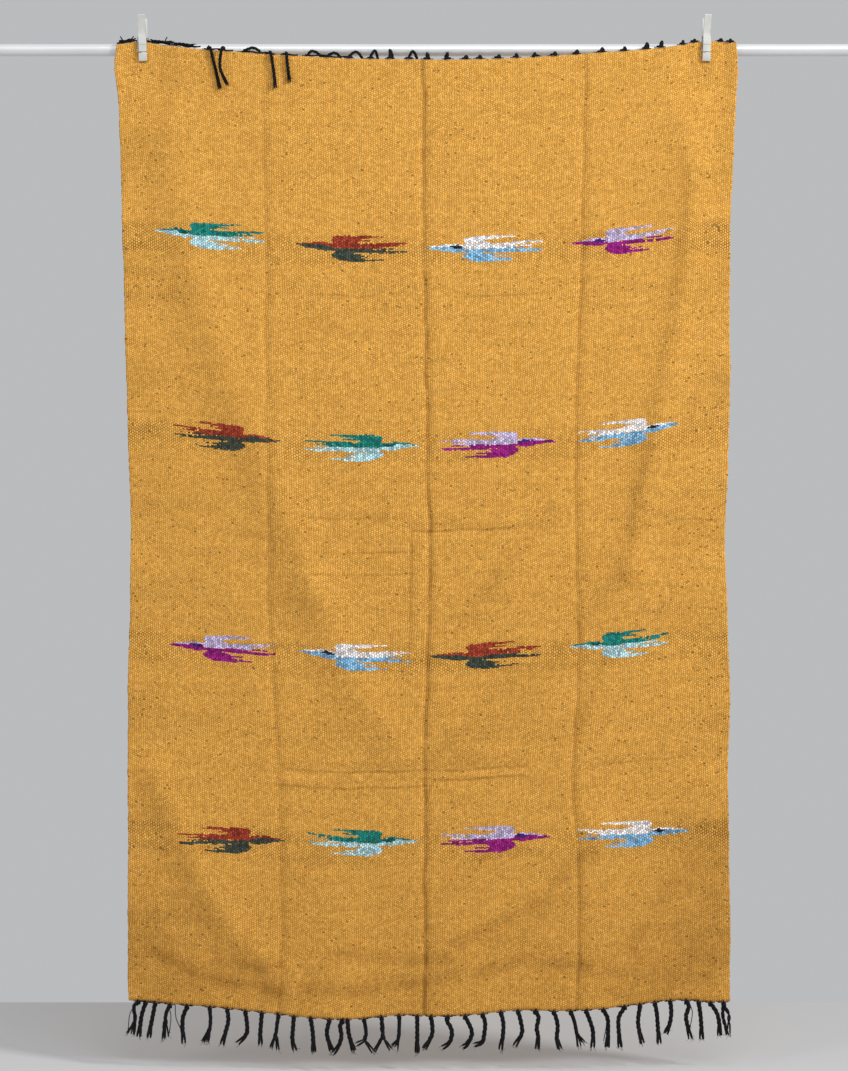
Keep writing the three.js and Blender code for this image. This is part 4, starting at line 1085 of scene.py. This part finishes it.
def make_lever(side, x, part):
    facing = 1 if part == "back" else -1
    made = bmesh.new()
    faces = []
    for hand in (-1, 1):
        ring = []
        for out, up in LEVER:
            rise = (up - PEG_TIP) / (PEG_TOP - PEG_TIP)
            half = 0.5 * (PEG_WIDTH + (PEG_TOP_WIDTH - PEG_WIDTH) * rise)
            ring.append(made.verts.new((hand * half, facing * out, up)))
        faces.append(ring)
    made.faces.new(faces[0])
    made.faces.new(faces[1][::-1])
    for k in range(len(LEVER)):
        n = (k + 1) % len(LEVER)
        made.faces.new((faces[0][k], faces[1][k], faces[1][n], faces[0][n]))
    rims = [edge for edge in made.edges if edge.verts[0].co.x * edge.verts[1].co.x > 0]
    bmesh.ops.bevel(made, geom=rims, offset=LEVER_BEVEL, segments=3, profile=0.6, affect="EDGES",
                    clamp_overlap=True)
    bmesh.ops.recalc_face_normals(made, faces=made.faces)
    bmesh.ops.triangulate(made, faces=[face for face in made.faces if len(face.verts) > 4])
    made.verts.index_update()
    points = leaned([tuple(v.co) for v in made.verts], x)
    polygons = [[v.index for v in face.verts] for face in made.faces]
    made.free()
    piece = make_mesh(f"lever_{side}_{part}", points, polygons, "peg_plastic", sharp=40)
    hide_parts(f"peg_{side}_{part}")
    return piece


def make_spring(side, x):
    leg = [(2, 21.8, -8), (6, 21.8, -8), (9, 21.9, -8), (LEG_X + 0.3, 20.5, -6.5), (LEG_X, 18.8, 0),
           (LEG_X, 18.6, 14), (LEG_X, 17, 20.5), (LEG_X, 10, 24.6), (LEG_X - 0.3, 4, 25.6)]
    turn = -0.25 * np.pi - np.arange(COIL_TURNS * 16 + 1) * 2 * np.pi / 16
    shift = np.linspace(6.6, -6.6, len(turn))
    coil = np.stack([shift, COIL_RADIUS * np.cos(turn), COIL_Z + COIL_RADIUS * np.sin(turn)], 1).tolist()
    last = coil.pop()
    back = [(-px, -py, pz) for px, py, pz in leg[::-1]]
    points = leaned(leg + coil + [(last[0], -last[1], last[2])] + back, x)
    wire = Yarns()
    wire.tube(smooth_path(points, 200), WIRE_RADIUS, 10)
    piece = make_mesh(f"spring_{side}", np.concatenate(wire.points), wire.faces, "spring_wire", sharp=50)
    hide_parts(f"peg_{side}_spring")
    return piece


cloth = make_cloth()
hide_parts("cloth")
fringes = [make_fringe_below(), make_fringe_above()]
rod = make_rod()
levers = []
for hand, place in PEG_PLACES.items():
    levers += [make_lever(hand, place, part) for part in ("front", "back")]
    make_spring(hand, place)

# The hidden solids carry the same materials as the pieces that stand for them
SLOT_OF = {part["node"]: part["material_slot"] for part in frame["record"]["subparts"]}
for name, node in frame["nodes"].items():
    for holder in node.material_slots:
        holder.material = LOOKS[SLOT_OF[name]]

# Stage, light and camera
FLOOR_Z, FLOOR_FRONT, FLOOR_BACK, FLOOR_HALF = -2.10, -9.0, 0.8, 7.0


def make_stage():
    """A plain floor that ends a little behind the blanket, so that its back can be seen as well."""
    points = [(x, y, FLOOR_Z) for y in (FLOOR_FRONT, FLOOR_BACK) for x in (-FLOOR_HALF, FLOOR_HALF)]
    mesh = bpy.data.meshes.new("studio_floor")
    mesh.from_pydata(points, [], [(0, 1, 3, 2)])
    mesh.materials.append(stage_material())
    floor = bpy.data.objects.new("studio_floor", mesh)
    bpy.context.scene.collection.objects.link(floor)


def make_light(name, place, target, size, power, spread):
    lamp = bpy.data.lights.new(name, "AREA")
    lamp.shape, lamp.size, lamp.size_y, lamp.energy = "RECTANGLE", size[0], size[1], power
    lamp.spread = math.radians(spread)
    held = bpy.data.objects.new(name, lamp)
    held.visible_camera = False
    held.location = place
    held.rotation_euler = (Vector(target) - Vector(place)).to_track_quat("-Z", "Y").to_euler()
    bpy.context.scene.collection.objects.link(held)


# Soft lamps: name, place, target, size, watts, spread in degrees
LIGHTS = [
    ("key", (6.4, -4.8, 3.0), (0.0, 0.0, -0.35), (1.8, 1.8), 57, 62),
    ("overhead", (0.6, -3.4, 2.6), (0.0, 0.0, -0.2), (2.4, 1.2), 15, 110),
    ("fill", (-4.5, -5.0, 2.6), (0.0, 0.5, -0.6), (2.0, 2.0), 15, 90),
]
BACKDROP, BACKDROP_STRENGTH = (0.97, 0.98, 1.0, 1), 0.51
make_stage()
for lamp_row in LIGHTS:
    make_light(*lamp_row)
world = bpy.data.worlds.new("studio")
world.use_nodes = True
world.node_tree.nodes["Background"].inputs["Color"].default_value = BACKDROP
world.node_tree.nodes["Background"].inputs["Strength"].default_value = BACKDROP_STRENGTH
bpy.context.scene.world = world
bpy.context.scene.view_settings.view_transform = "Standard"

VIEW_X, VIEW_PLANE_Y, VIEW_Z, VIEW_DISTANCE, FRAME_TALL = -0.0041, -0.025, -0.9994, 5.5, 2.1956
eye = bpy.data.cameras.new("camera")
eye.sensor_fit, eye.sensor_height = "VERTICAL", 36.0
eye.lens = eye.sensor_height * VIEW_DISTANCE / FRAME_TALL
camera = bpy.data.objects.new("camera", eye)
camera.location = (VIEW_X, VIEW_PLANE_Y - VIEW_DISTANCE, VIEW_Z)
camera.rotation_euler = (math.pi / 2, 0, 0)
bpy.context.scene.collection.objects.link(camera)
bpy.context.scene.camera = camera
